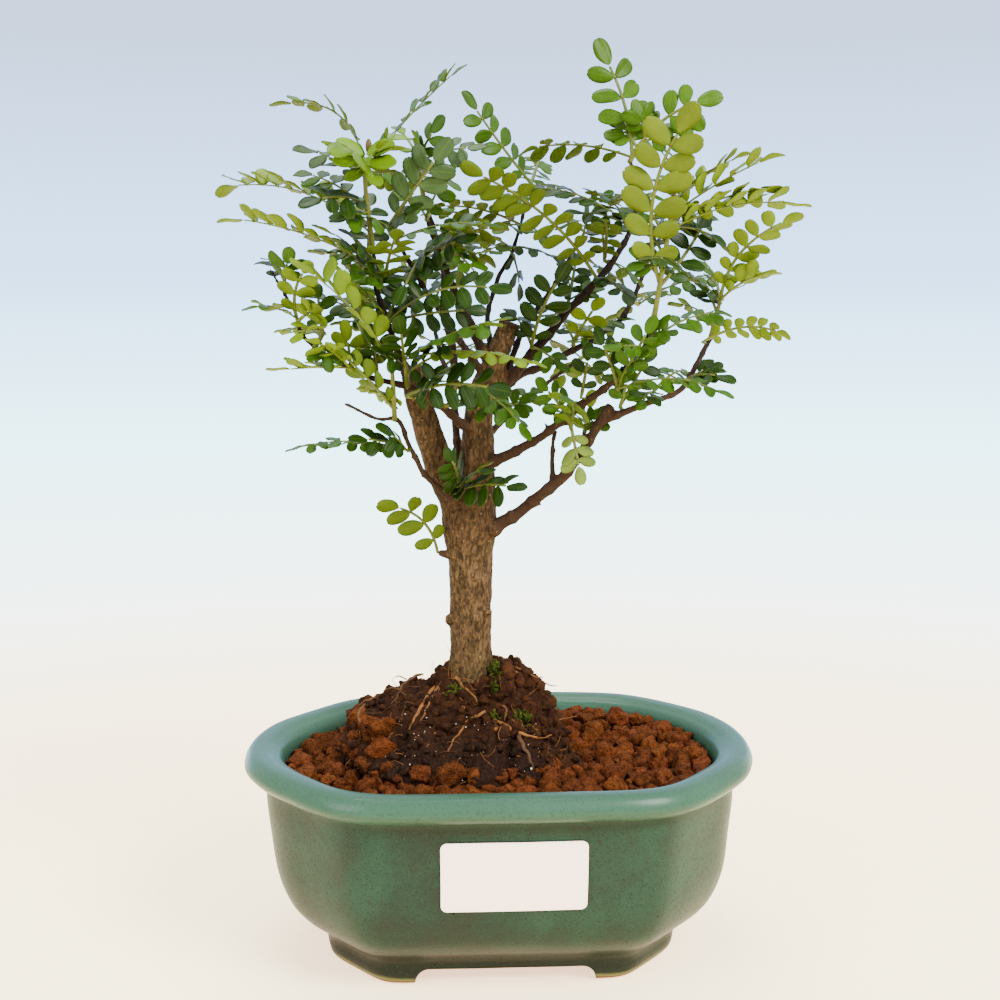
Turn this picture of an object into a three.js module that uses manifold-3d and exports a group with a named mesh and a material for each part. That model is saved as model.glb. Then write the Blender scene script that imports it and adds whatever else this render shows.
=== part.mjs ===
// A Japanese pepper bonsai in its glazed pot, in millimetres, +Z up.
// The origin is the middle of the pot's footprint; the pot's long side runs along X
// and its front faces -Y.
import * as THREE from 'three';
import Module from 'manifold-3d';
import { mergeVertices } from 'three/addons/utils/BufferGeometryUtils.js';

const wasm = await Module();
wasm.setup();

// Driving sizes
const gap = 0.3;               // clearance between pieces that touch
const potHalfLength = 70;      // at the lip
const potHalfDepth = 53;
const potHeight = 57;
const cornerReach = 66.3;      // from the middle to each bevelled corner face
const cornerNormal = [0.762, 0.647];
const cornerSoftness = 16;     // power of the rounded polygon: higher is sharper
const footHeight = 5;
const floorTop = 10;
const soilLevel = 51.3;
const bladeThickness = 0.7;
const ribHalfWidth = 0.45;

// Half-lengths of the pot's outside and inside at each height [half length, z].
const outerWall = [
  [48, footHeight], [50.5, 8.5], [54.5, 12], [58.2, 17], [61, 25], [62.6, 38], [64.2, 49],
  [67.8, 50.4], [potHalfLength, 53], [68.6, 56.2], [66, potHeight],
];
const innerWall = [[62.5, 56.2], [59.4, 52], [57, 30], [53, 19], [49.5, 14.5], [45, floorTop]];
const potAngles = [0, 14, 32, 47, 54, 74];   // degrees, within a quarter turn

// The wood: each bough is a list of [x, y, z, radius] from its root to its tip.
const boughs = {
  trunk: [10, [[-8.5, 3, 50, 10], [-8.5, 3, 62, 8.6], [-8.5, 3, 70, 7.2], [-8, 2, 81.5, 6.6],
    [-8, 2, 95.5, 6.5], [-8, 2, 109.5, 6.9], [-8, 2, 119, 7.4], [-6.5, 2, 127, 6],
    [-6, 2, 134, 4.9], [-5.5, 1, 149, 4.7], [-2.5, 0, 157.5, 4.6], [2.5, -2, 171.5, 3.9]]],
  leftStem: [8, [[-9.5, 2, 116, 5], [-12.5, 0, 124.5, 4.6], [-15, -1, 129.5, 4.2],
    [-18, -3, 138, 3.9], [-21, -5, 148, 3.6], [-24, -7, 159.5, 3.1]]],
  darkStem: [5, [[-9, 4, 124, 2.8], [-11, 9, 135, 2], [-12, 12, 149.5, 1.8], [-12.5, 13, 163, 1.8],
    [-14.5, 12, 177.5, 1.6], [-15.5, 12, 189.5, 1.4], [-20.2, 10, 205.6, 0.9]]],
  midBough: [5, [[-3, 1, 160, 2.4], [-8.5, -2, 172, 2.1], [-13, -6, 181.5, 1.7],
    [-19.3, -11.8, 197, 1]]],
  headBough: [5, [[-5, -1, 158, 1.8], [-13.5, -8, 170.5, 1.6], [-19, -14, 178, 1.3],
    [-26.2, -22.8, 190, 0.9]]],
  leftBough: [5, [[-22.5, -6, 155, 2], [-28, -14, 165.5, 1.6], [-31.5, -22, 177, 1.3],
    [-32.8, -27.8, 190.4, 0.9]]],
  backTop: [5, [[-2, 3, 163, 1.6], [-3, 10, 173.5, 1.3], [0.5, 14, 183.5, 1.2],
    [4.5, 16, 192, 1], [8.9, 18, 206.5, 0.8]]],
  rightBough: [6, [[-3, 2, 150, 2.8], [8.5, -2, 163, 2.3], [17, -6, 173.5, 1.9],
    [23.5, -9, 180.5, 1.7], [29.5, -10, 188, 1.5], [33.5, -8, 194.5, 1.3], [36.8, -5, 206, 1],
    [34, -5, 213.1, 0.9]]],
  rightBack: [5, [[-4, 3, 148, 2.4], [5, 8, 156.5, 2], [13.5, 12, 160, 1.8],
    [31.5, 19, 169.5, 1.4], [38, 21, 176.5, 1.3], [45, 22, 193.5, 0.9]]],
  lowBack: [4, [[-4, 4, 140, 1.7], [7, 16, 149, 1.3], [24, 31, 160.5, 0.9]]],
  longRight: [6, [[-4, 0, 133, 2.9], [8, -7, 139.5, 2], [16.5, -13, 146.5, 1.8],
    [27, -21, 155.5, 1.6], [34, -28, 163.5, 1.3], [36.4, -32.8, 173, 1.1]]],
  lowRight: [7, [[-5, 1, 114, 3.4], [4.5, -5, 120.5, 2.4], [13.5, -11, 128.5, 2.2],
    [18.5, -13, 134, 2.1], [28, -16, 150, 1.7]]],
  outRight: [5, [[25.5, -15, 145.5, 1.5], [36, -18, 150, 1.1], [46.5, -16, 154.5, 1],
    [55.4, -8.1, 167.1, 0.9]]],
  deadTwig: [4, [[13.5, -10.5, 127, 1.2], [13.5, -8, 137.5, 0.8], [14.5, -8, 143, 0.7]]],
  outLeft: [5, [[-9, -2, 143, 2.2], [-16.5, -9, 150, 1.7], [-21.5, -13, 153.5, 1.5],
    [-38.5, -17, 159, 1.2], [-50, -18, 166.5, 1], [-53, -18, 174, 0.8], [-59, -18, 184.5, 0.7]]],
  lowLeft: [5, [[-10, -2, 122, 2], [-19.5, -11, 130.5, 1.4], [-25, -15, 141, 1.1],
    [-27.5, -15, 146, 1.1], [-32.5, -15, 146.5, 0.9], [-41, -15, 150.5, 0.7]]],
  stub: [5, [[-8, 0, 108, 1.8], [-13.7, -1, 108.5, 1.5], [-16.7, -1, 109.3, 1.1]]],
  rearLeft: [5, [[-6, 3, 142, 2.2], [-9, 12, 152, 1.7], [-15, 25, 161, 1.4],
    [-19.8, 40.6, 181.6, 0.9]]],
  rearRight: [5, [[0, 2, 154, 1.8], [7, 10, 169, 1.4], [14, 16, 179, 1.2],
    [23.8, 14, 195.6, 0.8]]],
};

// One spray a row: [foot, end of its green shoot or null, its fronds].
// A frond is [share of the shoot, tip x, y, z, facing, leaflet length, arch, sweep]; facing is
// the tilt of its upper side in degrees, 0 up, 90 to the front and -90 to the back.
const sprays = [
  [[34, -5, 213.5], [38, -5, 219.5], [[0.12, 25, -2, 244, -80, 7.2, 0.02, 0.07],
    [0.08, 4, -9, 215, -20, 6.5, 0.09, 0], [1, 57, -10, 229, -60, 7, 0.06, -0.06],
    [0.95, 35, -8, 228, -70, 6.5, 0.04, 0], [0.6, 47, 4, 215, 40, 5.5, 0.1, 0]]],
  [[36.5, -33, 173.5], [40.5, -33, 200.5], [[0.25, 45, -42, 222, -85, 8.6, 0.02, 0.14],
    [0.22, 51, -22, 198, 50, 6.4, 0.08, 0.05], [0.72, 74, -34, 199, -45, 7.4, 0.1, 0],
    [0.86, 65, -41, 211, -50, 6.4, 0.04, 0], [1, 60, -26, 213, -50, 5.4, 0.03, 0],
    [0.5, 29, -24, 199, 30, 5.2, 0.1, 0], [0.35, 33, -58, 184, 30, 6, 0.1, 0]]],
  [[55.5, -8, 167.5], [58, -8, 177.5], [[1, 75, -26, 198, -60, 6.3, 0.02, 0.17],
    [0.97, 70, -22, 183, -50, 6.4, 0.12, 0], [0.9, 43, -14, 186, 15, 5.4, 0.08, 0],
    [0.8, 54, 6, 190, -30, 5.4, 0.1, 0], [0.2, 46, 4, 176, -30, 5, 0.16, 0]]],
  [[-33, -28, 191], [-34.5, -30, 207.5], [[0.1, -74, -2, 206, -40, 7.2, 0.1, 0],
    [0.42, -52, -22, 208, 30, 5.8, 0.1, 0], [0.5, -49, -42, 198, 40, 6.4, 0.12, 0],
    [0.95, -40, -50, 211, 50, 8, 0.08, 0], [1, -27, -46, 212, 50, 8, 0.08, 0],
    [0.85, -59, -26, 223, -30, 6, 0.13, 0], [1, -10, -24, 234, -30, 5.4, 0.03, 0]]],
  [[-28, -16.5, 147.5], [-28.5, -21, 160], [[1, -52, -36, 186, -60, 6.8, 0.02, -0.12],
    [0.1, -43, -24, 165, -60, 5.6, 0.04, 0], [0.15, -37, 0, 154, -40, 5.2, 0.08, 0]]],
  [[-32.5, -17, 158.5], null, [[0, -43, -32, 166, 0, 6.2, 0.08, 0], [0, -36, -25, 173, 50, 6.2, 0.06, 0]]],
  [[-34.3, -25.5, 185.5], null, [[0, -71, -20, 197, -50, 7.2, 0.06, 0], [0, -39, -14, 204, 50, 6, 0.06, 0]]],
  [[53.5, -10, 165.5], null, [[0, 74, -20, 167, -40, 4.7, 0.2, 0]]],
  [[28.5, -24.5, 156], null, [[0, 56, -34, 152, 15, 5.4, 0.14, 0], [0, 25, -31, 171, 70, 5.2, 0.06, 0],
    [0, 36, -36, 172, 60, 5.2, 0.06, 0]]],
  [[48.5, -17, 157], null, [[0, 58, -26, 156, 30, 5.2, 0.12, 0]]],
  [[38.5, -16, 153], null, [[0, 54, -1, 158, 30, 5, 0.12, 0], [0, 34, -29, 143, 10, 5, 0.12, 0]]],
  [[30.5, -17, 149.5], null, [[0, 32, -26, 161, 60, 5.8, 0.05, 0]]],
  [[34.5, -30, 165], null, [[0, 55, -24, 176, 20, 5, 0.14, 0]]],
  [[17.5, -15.5, 146], null, [[0, 14, -38, 153, 45, 6.4, 0.1, 0], [0, 13, -20, 160, 70, 5, 0.04, 0.05],
    [0, 20, -20, 130, -70, 6.4, 0.05, 0]]],
  [[0, 10, 145.5], null, [[0, 16, 16, 147, 60, 5.8, 0.06, 0]]],
  [[21.5, -12, 141.5], null, [[0, 24, -5, 153, -50, 5.4, 0.06, 0]]],
  [[20.5, -18, 152], null, [[0, 23, -25, 164, 60, 5, 0.05, 0]]],
  [[21.5, 14.5, 166], null, [[0, 28, 5, 178, -60, 6, 0.05, 0], [0, 12, 30, 178, 10, 5.4, 0.1, 0]]],
  [[8, -5.5, 165], null, [[0, 13, -12, 189, 80, 6.4, 0.03, -0.06]]],
  [[18, -5, 177], null, [[0, 21, 4, 190, 60, 5.4, 0.06, 0], [0, 10, -19, 184, 40, 5.4, 0.12, 0]]],
  [[24.5, -11.5, 182.5], null, [[0, -14, -26, 208, -45, 6.6, 0.04, -0.07],
    [0, 31, -28, 175, 10, 5.2, 0.12, 0]]],
  [[27, -8, 187.5], null, [[0, 27, 3, 198, 30, 5, 0.08, 0], [0, 32, -25, 197, 20, 5, 0.1, 0]]],
  [[33.5, -10, 196], null, [[0, 20, -22, 204, 15, 5.2, 0.1, 0], [0, 6, 2, 207, 10, 5.6, 0.1, 0]]],
  [[38.5, -6, 202.5], null, [[0, 22, 8, 216, -20, 5.2, 0.04, 0], [0, 52, 10, 211, 30, 5.2, 0.1, 0]]],
  [[24, 14, 196], null, [[0, 17, 24, 204, 50, 5, 0.1, 0], [0, 29, 2, 205, 50, 5, 0.1, 0]]],
  [[9, 18, 207], null, [[0, -9, 9, 233, -60, 6.2, 0.03, -0.05], [0, 23, 12, 206, 10, 5.2, 0.1, 0],
    [0, 14, 42, 219, 40, 5.4, 0.1, 0]]],
  [[7, 15.5, 198], null, [[0, -19, 6, 202, -30, 6, 0.1, 0], [0, 12, 1, 192, -30, 5.4, 0.1, 0]]],
  [[3, 14.5, 192.5], null, [[0, -14, 22, 207, -20, 6, 0.1, 0], [0, -7, 2, 187, -20, 5.6, 0.1, 0]]],
  [[-20.5, 10, 206], [-21.5, 8, 215], [[1, -15, 1, 225, 50, 6, 0.06, 0],
    [0.9, -4, 0, 217, 50, 5.4, 0.1, 0], [1, -28, 18, 225, 30, 6, 0.08, 0],
    [0.5, -17, 34, 216, 40, 6, 0.1, 0], [0.3, -42, 20, 212, -30, 5.6, 0.1, 0]]],
  [[-26.5, -23, 190.5], [-28.5, -26, 195], [[1, -14, -36, 214, 75, 7, 0.05, 0],
    [0.2, -1, -34, 194, 10, 6, 0.08, 0]]],
  [[-30.5, -23, 181], null, [[0, -50, -8, 189, -20, 5.6, 0.1, 0], [0, -28, -44, 192, 50, 6, 0.06, 0]]],
  [[-55, -18, 181.5], null, [[0, -53, -27, 189, 60, 5.6, 0.05, 0], [0, -62, -4, 188, 20, 5, 0.1, 0]]],
  [[-52, -20, 171.5], null, [[0, -65, -26, 174, -30, 4.6, 0.14, 0],
    [0, -47, -27, 186, -70, 5.2, 0.04, 0.16]]],
  [[-47, -18.5, 166.5], null, [[0, -52, -34, 166, -10, 4.8, 0.12, 0], [0, -48, -12, 181, -60, 5.4, 0.04, 0],
    [0, -58, 0, 168, 10, 5, 0.1, 0]]],
  [[-39, -19.5, 159.5], null, [[0, -59, -24, 160, -50, 6, 0.03, 0], [0, -41, -29, 173, -50, 5.4, 0.06, 0]]],
  [[-30, -21, 171.5], null, [[0, -56, -31, 176, -8, 6, 0.08, 0], [0, -45, -30, 169, -30, 5.8, 0.08, 0],
    [0, 1, -35, 178, 45, 6.2, 0.12, -0.08], [0, -5, -25, 174, 60, 5.6, 0.08, 0]]],
  [[-29, -13, 169], null, [[0, -37, -3, 190, -40, 5.6, 0.08, 0], [0, -50, -6, 178, -30, 5.8, 0.08, 0]]],
  [[-25, -16, 138], null, [[0, -39, -26, 142, 40, 5.6, 0.08, 0], [0, -55, -24, 139, 8, 5, 0.08, 0]]],
  [[-17, -1, 109.5], null, [[0, -34, -8, 123, -60, 5.6, 0.04, -0.2]]],
  [[-12, -7, 126.5], null, [[0, 5, -26, 129, 30, 5.6, 0.1, 0], [0, -15, -25, 139, 40, 5.4, 0.08, 0]]],
  [[-24.5, -16, 156], [-25.5, -21, 162], [[1, 1, -37, 176, 15, 6.6, 0.04, 0],
    [0.95, 9, -37, 160, 10, 5.4, 0.08, 0], [0.9, -26, -30, 186, 80, 6.4, 0.03, 0]]],
  [[-20.5, -15, 152], [-25, -20, 152.5], [[1, -1, -35, 162, 75, 6.4, 0.06, -0.075]]],
  [[-13.5, -9.5, 150], [-12, -12, 155], [[1, 6, -29, 142, 20, 5.4, 0.13, 0]]],
  [[-22, -20, 186], null, [[0, -16, -34, 194, 60, 6.6, 0.06, 0], [0, -8, -30, 193, 50, 6.2, 0.08, 0]]],
  [[-16, -11, 191], null, [[0, 1, -18, 195, -30, 6, 0.1, 0], [0, -2, -15, 186, -30, 6, 0.08, 0]]],
  [[-19.5, -12, 197.5], null, [[0, -10, -20, 207, -30, 6, 0.08, 0], [0, -32, -10, 206, 30, 6, 0.1, 0]]],
  [[45, 22, 194], null, [[0, 64, 28, 201, 30, 5.6, 0.1, 0], [0, 40, 46, 205, -30, 5.6, 0.1, 0],
    [0, 55, 8, 211, 30, 5.4, 0.08, 0]]],
  [[39.5, 22.5, 177.5], null, [[0, 66, 12, 184, 30, 5.6, 0.1, 0], [0, 52, 44, 180, -20, 5.6, 0.1, 0],
    [0, 26, 34, 190, -20, 5.4, 0.1, 0]]],
  [[24.5, 31.3, 160.8], null, [[0, 46, 44, 160, -10, 5.6, 0.1, 0], [0, 26, 58, 172, -30, 5.6, 0.1, 0],
    [0, 4, 46, 168, -10, 5.4, 0.1, 0]]],
  [[-20, 41, 182], null, [[0, -34, 58, 188, -30, 5.8, 0.1, 0], [0, -6, 58, 194, -30, 5.8, 0.1, 0]]],
  [[-18.5, 28, 166], null, [[0, -42, 40, 170, -10, 5.6, 0.1, 0]]],
  [[-12, 23, 161.5], null, [[0, 2, 50, 164, -10, 5.4, 0.1, 0]]],
  [[-16.5, 13, 178.5], null, [[0, -4, 38, 196, -30, 5.4, 0.1, 0]]],
];

// Colours and finishes
const finishes = {
  glaze: { color: 0x3c8a76, roughness: 0.35 },
  grit: { color: 0x7a3f26, roughness: 0.95 },
  rootSoil: { color: 0x3c2419, roughness: 0.95 },
  bark: { color: 0x6b5748, roughness: 0.85 },
  leaf: { color: 0x4f8a35, roughness: 0.45 },
  card: { color: 0xf4f3f0, roughness: 0.5 },
};

// A repeatable random sequence, 0 to 1.
function randomFrom(seed) {
  let state = seed;
  return () => {
    state = (state * 1664525 + 1013904223) % 4294967296;
    return state / 4294967296;
  };
}

// Turns a closed geometry into a solid that can be cut and joined.
function toSolid(geometry) {
  const bare = new THREE.BufferGeometry();
  bare.setAttribute('position', geometry.getAttribute('position'));
  bare.setIndex(geometry.getIndex());
  const merged = mergeVertices(bare, 1e-4);
  const index = merged.getIndex().array;
  const triangles = [];
  for (let i = 0; i < index.length; i += 3) {
    const [a, b, c] = [index[i], index[i + 1], index[i + 2]];
    if (a !== b && b !== c && c !== a) triangles.push(a, b, c);
  }
  const mesh = new wasm.Mesh({
    numProp: 3,
    vertProperties: new Float32Array(merged.getAttribute('position').array),
    triVerts: new Uint32Array(triangles),
  });
  return new wasm.Manifold(mesh);
}

function toGeometry(solid) {
  const mesh = solid.getMesh();
  const geometry = new THREE.BufferGeometry();
  geometry.setAttribute('position', new THREE.BufferAttribute(mesh.vertProperties, 3));
  geometry.setIndex(new THREE.BufferAttribute(mesh.triVerts, 1));
  geometry.computeVertexNormals();
  return geometry;
}

// A closed skin over a stack of rings with equal counts, with a middle point at each end.
function ringSolid(rings, startMiddle, endMiddle) {
  const count = rings[0].length;
  const points = [startMiddle, ...rings.flat(), endMiddle];
  const last = points.length - 1;
  const index = [];
  for (let j = 0; j < count; j += 1) {
    const next = (j + 1) % count;
    index.push(0, 1 + next, 1 + j);
    for (let i = 0; i < rings.length - 1; i += 1) {
      const low = 1 + i * count;
      const high = low + count;
      index.push(low + j, low + next, high + j, low + next, high + next, high + j);
    }
    const top = 1 + (rings.length - 1) * count;
    index.push(top + j, top + next, last);
  }
  const geometry = new THREE.BufferGeometry().setFromPoints(points);
  geometry.setIndex(index);
  return toSolid(geometry);
}

// A round tube of changing radius along [x, y, z, radius] points, grown by a margin all round.
function taperedTube(route, sides, grow = 0) {
  const centres = route.map(([x, y, z]) => new THREE.Vector3(x, y, z));
  const rings = [];
  let across = new THREE.Vector3(1, 0, 0.001);
  centres.forEach((centre, i) => {
    const before = centres[Math.max(i - 1, 0)];
    const after = centres[Math.min(i + 1, centres.length - 1)];
    const along = after.clone().sub(before).normalize();
    across = across.clone().addScaledVector(along, -across.dot(along)).normalize();
    const side = along.clone().cross(across);
    const radius = route[i][3] + grow;
    if (i === 0) centre.addScaledVector(along, -grow);
    if (i === centres.length - 1) centre.addScaledVector(along, grow);
    const ring = [];
    for (let k = 0; k < sides; k += 1) {
      const turn = (2 * Math.PI * k) / sides;
      ring.push(centre.clone()
        .addScaledVector(across, radius * Math.cos(turn))
        .addScaledVector(side, radius * Math.sin(turn)));
    }
    rings.push(ring);
  });
  return ringSolid(rings, centres[0], centres[centres.length - 1]);
}

// The pot

// How far the rounded eight-sided plan reaches at an angle, for a half-length.
function planReach(angle, halfLength) {
  const inset = potHalfLength - halfLength;
  const [c, s] = [Math.abs(Math.cos(angle)), Math.abs(Math.sin(angle))];
  const faces = [
    c / halfLength,
    s / (potHalfDepth - inset),
    (c * cornerNormal[0] + s * cornerNormal[1]) / (cornerReach - inset),
  ];
  const sum = faces.reduce((total, face) => total + face ** cornerSoftness, 0);
  return sum ** (-1 / cornerSoftness);
}

function planRing(halfLength, z) {
  const quarter = potAngles.flatMap((degrees) => [degrees, 180 - degrees, 180 + degrees, 360 - degrees]);
  const angles = [...new Set([...quarter, 90, 270])].filter((degrees) => degrees < 360);
  return angles.sort((a, b) => a - b).map((degrees) => {
    const angle = THREE.MathUtils.degToRad(degrees);
    const reach = planReach(angle, halfLength);
    return new THREE.Vector3(reach * Math.cos(angle), reach * Math.sin(angle), z);
  });
}

function potFeet() {
  const rings = [planRing(45.5, 0), planRing(47, 1), planRing(48.5, footHeight + 1)];
  const ring = ringSolid(rings, new THREE.Vector3(), new THREE.Vector3(0, 0, footHeight + 1));
  const arch = (halfWidth, length) => {
    const outline = new THREE.Shape([
      new THREE.Vector2(-halfWidth - 1.5, -1),
      new THREE.Vector2(halfWidth + 1.5, -1),
      new THREE.Vector2(halfWidth, footHeight + 2),
      new THREE.Vector2(-halfWidth, footHeight + 2),
    ]);
    const bar = new THREE.ExtrudeGeometry(outline, { depth: length, bevelEnabled: false });
    bar.rotateX(Math.PI / 2);
    bar.translate(0, length / 2, 0);
    return bar;
  };
  const frontArch = arch(23.5, 120);
  const sideArch = arch(12, 120);
  sideArch.rotateZ(Math.PI / 2);
  const core = new THREE.CylinderGeometry(26, 26, 20, 24);
  core.rotateX(Math.PI / 2);
  core.scale(1.52, 0.86, 1);
  return ring.subtract(toSolid(frontArch)).subtract(toSolid(sideArch)).subtract(toSolid(core));
}

function makePot() {
  const profile = [...outerWall, ...innerWall];
  const rings = profile.map(([halfLength, z]) => planRing(halfLength, z));
  const underside = new THREE.Vector3(0, 0, footHeight);
  const floor = new THREE.Vector3(0, 0, floorTop);
  let pot = ringSolid(rings, underside, floor).add(potFeet());
  for (const x of [-20, 20]) {
    const drain = new THREE.CylinderGeometry(4.5, 4.5, 20, 12);
    drain.rotateX(Math.PI / 2);
    drain.translate(x, 0, footHeight + 2);
    pot = pot.subtract(toSolid(drain));
  }
  return pot;
}

// The blank label on the front wall

// How far the outside wall stands from the middle at a height and a place along the front.
function wallDepth(x, z) {
  const upper = outerWall.findIndex(([, height]) => height >= z);
  const [[low, from], [high, to]] = outerWall.slice(upper - 1, upper + 1);
  const halfLength = THREE.MathUtils.mapLinear(z, from, to, low, high);
  let depth = potHalfDepth - (potHalfLength - halfLength);
  for (let step = 0; step < 6; step += 1) {
    const angle = Math.atan2(depth, x);
    depth = planReach(angle, halfLength) * Math.sin(angle);
  }
  return depth;
}

function makeLabel() {
  const [left, right, thick] = [-17, 19.5, 0.6];
  const rows = [[25, 2], [25.7, 0.7], [28, 0], [38, 0], [43, 0], [44.3, 0.7], [45, 2]];
  const columns = 4;
  const skins = [gap, gap + thick].map((off) => rows.map(([z, tuck]) => (
    Array.from({ length: columns + 1 }, (_, k) => {
      const x = left + tuck + ((right - left - 2 * tuck) * k) / columns;
      return new THREE.Vector3(x, -wallDepth(x, z) - off, z);
    })
  )));
  const rim = rows.map((_, i) => [...skins[1][i], ...skins[0][i].slice().reverse()]);
  const middle = (row) => row.reduce((sum, p) => sum.add(p), new THREE.Vector3()).divideScalar(row.length);
  return ringSolid(rim, middle(rim[0]), middle(rim[rim.length - 1]));
}

// The root ball, a lumpy mound that rises to the trunk: [height, half width, half depth, x, y]
const moundLevels = [
  [20, 26, 21, 0, 0], [42, 37, 29, 0, 0], [50, 34, 29, -8, 0], [54, 32, 28.5, -12.5, 0],
  [60, 30, 25, -12, 1], [65, 28.5, 21, -12.3, 2], [69, 24.6, 17, -9.4, 3],
  [76, 16, 11.5, -5.5, 5], [79.3, 12, 9, -4.8, 6.5],
];
const moundDraw = randomFrom(11);
const moundPhases = Array.from({ length: 4 }, () => 2 * Math.PI * moundDraw());

// A point of the mound's side; level counts the rows above and may lie between two of them.
function moundPoint(level, turn, grow) {
  const lower = Math.min(Math.floor(level), moundLevels.length - 2);
  const [z, halfX, halfY, x, y] = moundLevels[lower].map((value, k) => (
    THREE.MathUtils.lerp(value, moundLevels[lower + 1][k], level - lower)
  ));
  const reach = 1 + 0.035 * Math.sin(3 * turn + moundPhases[0] + 0.9 * level)
    + 0.03 * Math.sin(5 * turn + moundPhases[1] - 1.3 * level)
    + 0.02 * Math.sin(8 * turn + moundPhases[2] + 2.1 * level);
  return new THREE.Vector3(
    x + (halfX * reach + grow) * Math.cos(turn),
    y + (halfY * reach + grow) * Math.sin(turn),
    z + (level === 0 ? -grow : grow * 0.6) + 0.7 * Math.sin(2 * turn + moundPhases[3] + level),
  );
}

function moundSolid(grow) {
  const sides = 16;
  const rings = moundLevels.map((row, level) => (
    Array.from({ length: sides }, (_, j) => moundPoint(level, (2 * Math.PI * j) / sides, grow))
  ));
  const [top, , , x, y] = moundLevels[moundLevels.length - 1];
  return ringSolid(rings, new THREE.Vector3(0, 0, 20 - grow), new THREE.Vector3(x, y, top + grow));
}

// Roots that run down over the mound's side, as [height, turn in degrees, radius]
const surfaceRoots = [
  [[75, 229, 1.6], [70, 235, 1.7], [65, 243, 1.4], [59, 247, 1.2], [54, 249, 1]],
  [[73, 202, 1.4], [67, 197, 1.3], [61, 192, 1.2], [54, 189, 1]],
  [[72, 274, 1.2], [68, 284, 1.3], [65.5, 300, 1.2], [62, 314, 1]],
  [[74, 62, 1.5], [68, 51, 1.4], [61, 42, 1.2], [54, 36, 1]],
  [[74, 101, 1.5], [67, 108, 1.4], [60, 112, 1.2], [54, 115, 1]],
];

function rootRoute(root) {
  return root.map(([height, degrees, radius]) => {
    const upper = moundLevels.findIndex(([z]) => z >= height);
    const [from, to] = [moundLevels[upper - 1][0], moundLevels[upper][0]];
    const level = upper - 1 + (height - from) / (to - from);
    return [...moundPoint(level, THREE.MathUtils.degToRad(degrees), 0), radius];
  });
}

function rootBallSolid(grow) {
  return surfaceRoots.reduce(
    (ball, root) => ball.add(taperedTube(rootRoute(root), 4, grow)),
    moundSolid(grow),
  );
}

// The soil: coarse granules as a relief over the fill of the pot
function granuleTop() {
  const [width, depth, height, cell] = [130, 100, 60, 8];
  const draw = randomFrom(5);
  const granules = [];
  for (let row = -8; row <= 8; row += 1) {
    for (let column = -10; column <= 10; column += 1) {
      const x = 7.4 * (column + 0.5 * (row % 2)) + 2.4 * (draw() - 0.5);
      const y = 6.4 * row + 2.4 * (draw() - 0.5);
      granules.push([x, y, 4.1 + 0.9 * draw(), 1.6 * (draw() - 0.5)]);
    }
  }
  const block = new THREE.BoxGeometry(
    width, depth, height, Math.round(width / cell), Math.round(depth / cell), 1,
  );
  block.translate(0, 0, soilLevel - height / 2);
  const position = block.getAttribute('position');
  const shifts = new Map();
  for (let i = 0; i < position.count; i += 1) {
    const [x, y, z] = [position.getX(i), position.getY(i), position.getZ(i)];
    if (z > soilLevel - 1) {
      const key = `${x.toFixed(2)},${y.toFixed(2)}`;
      if (!shifts.has(key)) {
        const heights = granules.map(([gx, gy, radius, lift]) => {
          const near = 1 - ((x - gx) ** 2 + (y - gy) ** 2) / radius ** 2;
          return near > 0 ? 3.2 * Math.sqrt(near) + lift : -1.2;
        });
        const rise = 1.6 * Math.exp(-(x * x + 2 * y * y) / 2400);
        shifts.set(key, Math.max(...heights) - 1.4 + rise);
      }
      position.setZ(i, z + shifts.get(key));
    }
  }
  return toSolid(block);
}

function makeSoil() {
  const wall = [
    [44, floorTop + gap], [48.7, 14.5], [52.2, 19], [56.3, 30], [58.9, 52], [61.6, 56],
  ];
  const rings = wall.map(([halfLength, z]) => planRing(halfLength, z));
  const fill = ringSolid(
    rings,
    new THREE.Vector3(0, 0, floorTop + gap),
    new THREE.Vector3(0, 0, wall[wall.length - 1][1]),
  );
  return fill.intersect(granuleTop()).subtract(rootBallSolid(gap));
}

// The leaves

// A flat outline drawn as [along, across] points: opposite leaflets cut to the rib and one at
// the tip. The same triangles serve both faces.
function frondShape(length, leaflet) {
  const pairs = length < 26 ? 2 : length < 46 ? 3 : 4;
  const stalk = Math.max(3, 0.14 * length);
  const pitch = (length - leaflet * 0.9 - stalk) / pairs;
  const reach = Math.min(leaflet, pitch * 1.4);
  const outline = [[0, ribHalfWidth], [0, -ribHalfWidth]];
  for (let i = 0; i <= pairs; i += 1) {
    const along = stalk + i * pitch;
    outline.push([along, ribHalfWidth], [along, -ribHalfWidth]);
  }
  const triangles = [];
  for (let rib = 0; rib <= 2 * pairs; rib += 2) {
    triangles.push([rib, rib + 1, rib + 2], [rib + 1, rib + 3, rib + 2]);
  }
  for (let i = 0; i < pairs; i += 1) {
    const along = stalk + i * pitch;
    for (const side of [0, 1]) {
      const across = reach * (side ? -1 : 1);
      const first = outline.length;
      outline.push([along + 0.2 * pitch, 0.78 * across], [along + 0.68 * pitch, across]);
      const low = 2 + 2 * i + side;
      const quad = [[low, low + 2, first + 1], [low, first + 1, first]];
      quad.forEach((triangle) => triangles.push(side ? triangle.toReversed() : triangle));
    }
  }
  const end = 2 * pairs + 2;
  const first = outline.length;
  outline.push([length, 0.24 * leaflet], [length, -0.24 * leaflet]);
  triangles.push([end, end + 1, first], [end + 1, first + 1, first]);
  return { outline, triangles };
}

// The rim's edges are the triangle edges that are used once.
function rimEdges(triangles) {
  const edges = new Map();
  for (const [a, b, c] of triangles) {
    for (const [from, to] of [[a, b], [b, c], [c, a]]) {
      if (edges.has(`${to},${from}`)) edges.delete(`${to},${from}`);
      else edges.set(`${from},${to}`, [from, to]);
    }
  }
  return [...edges.values()];
}

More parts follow.
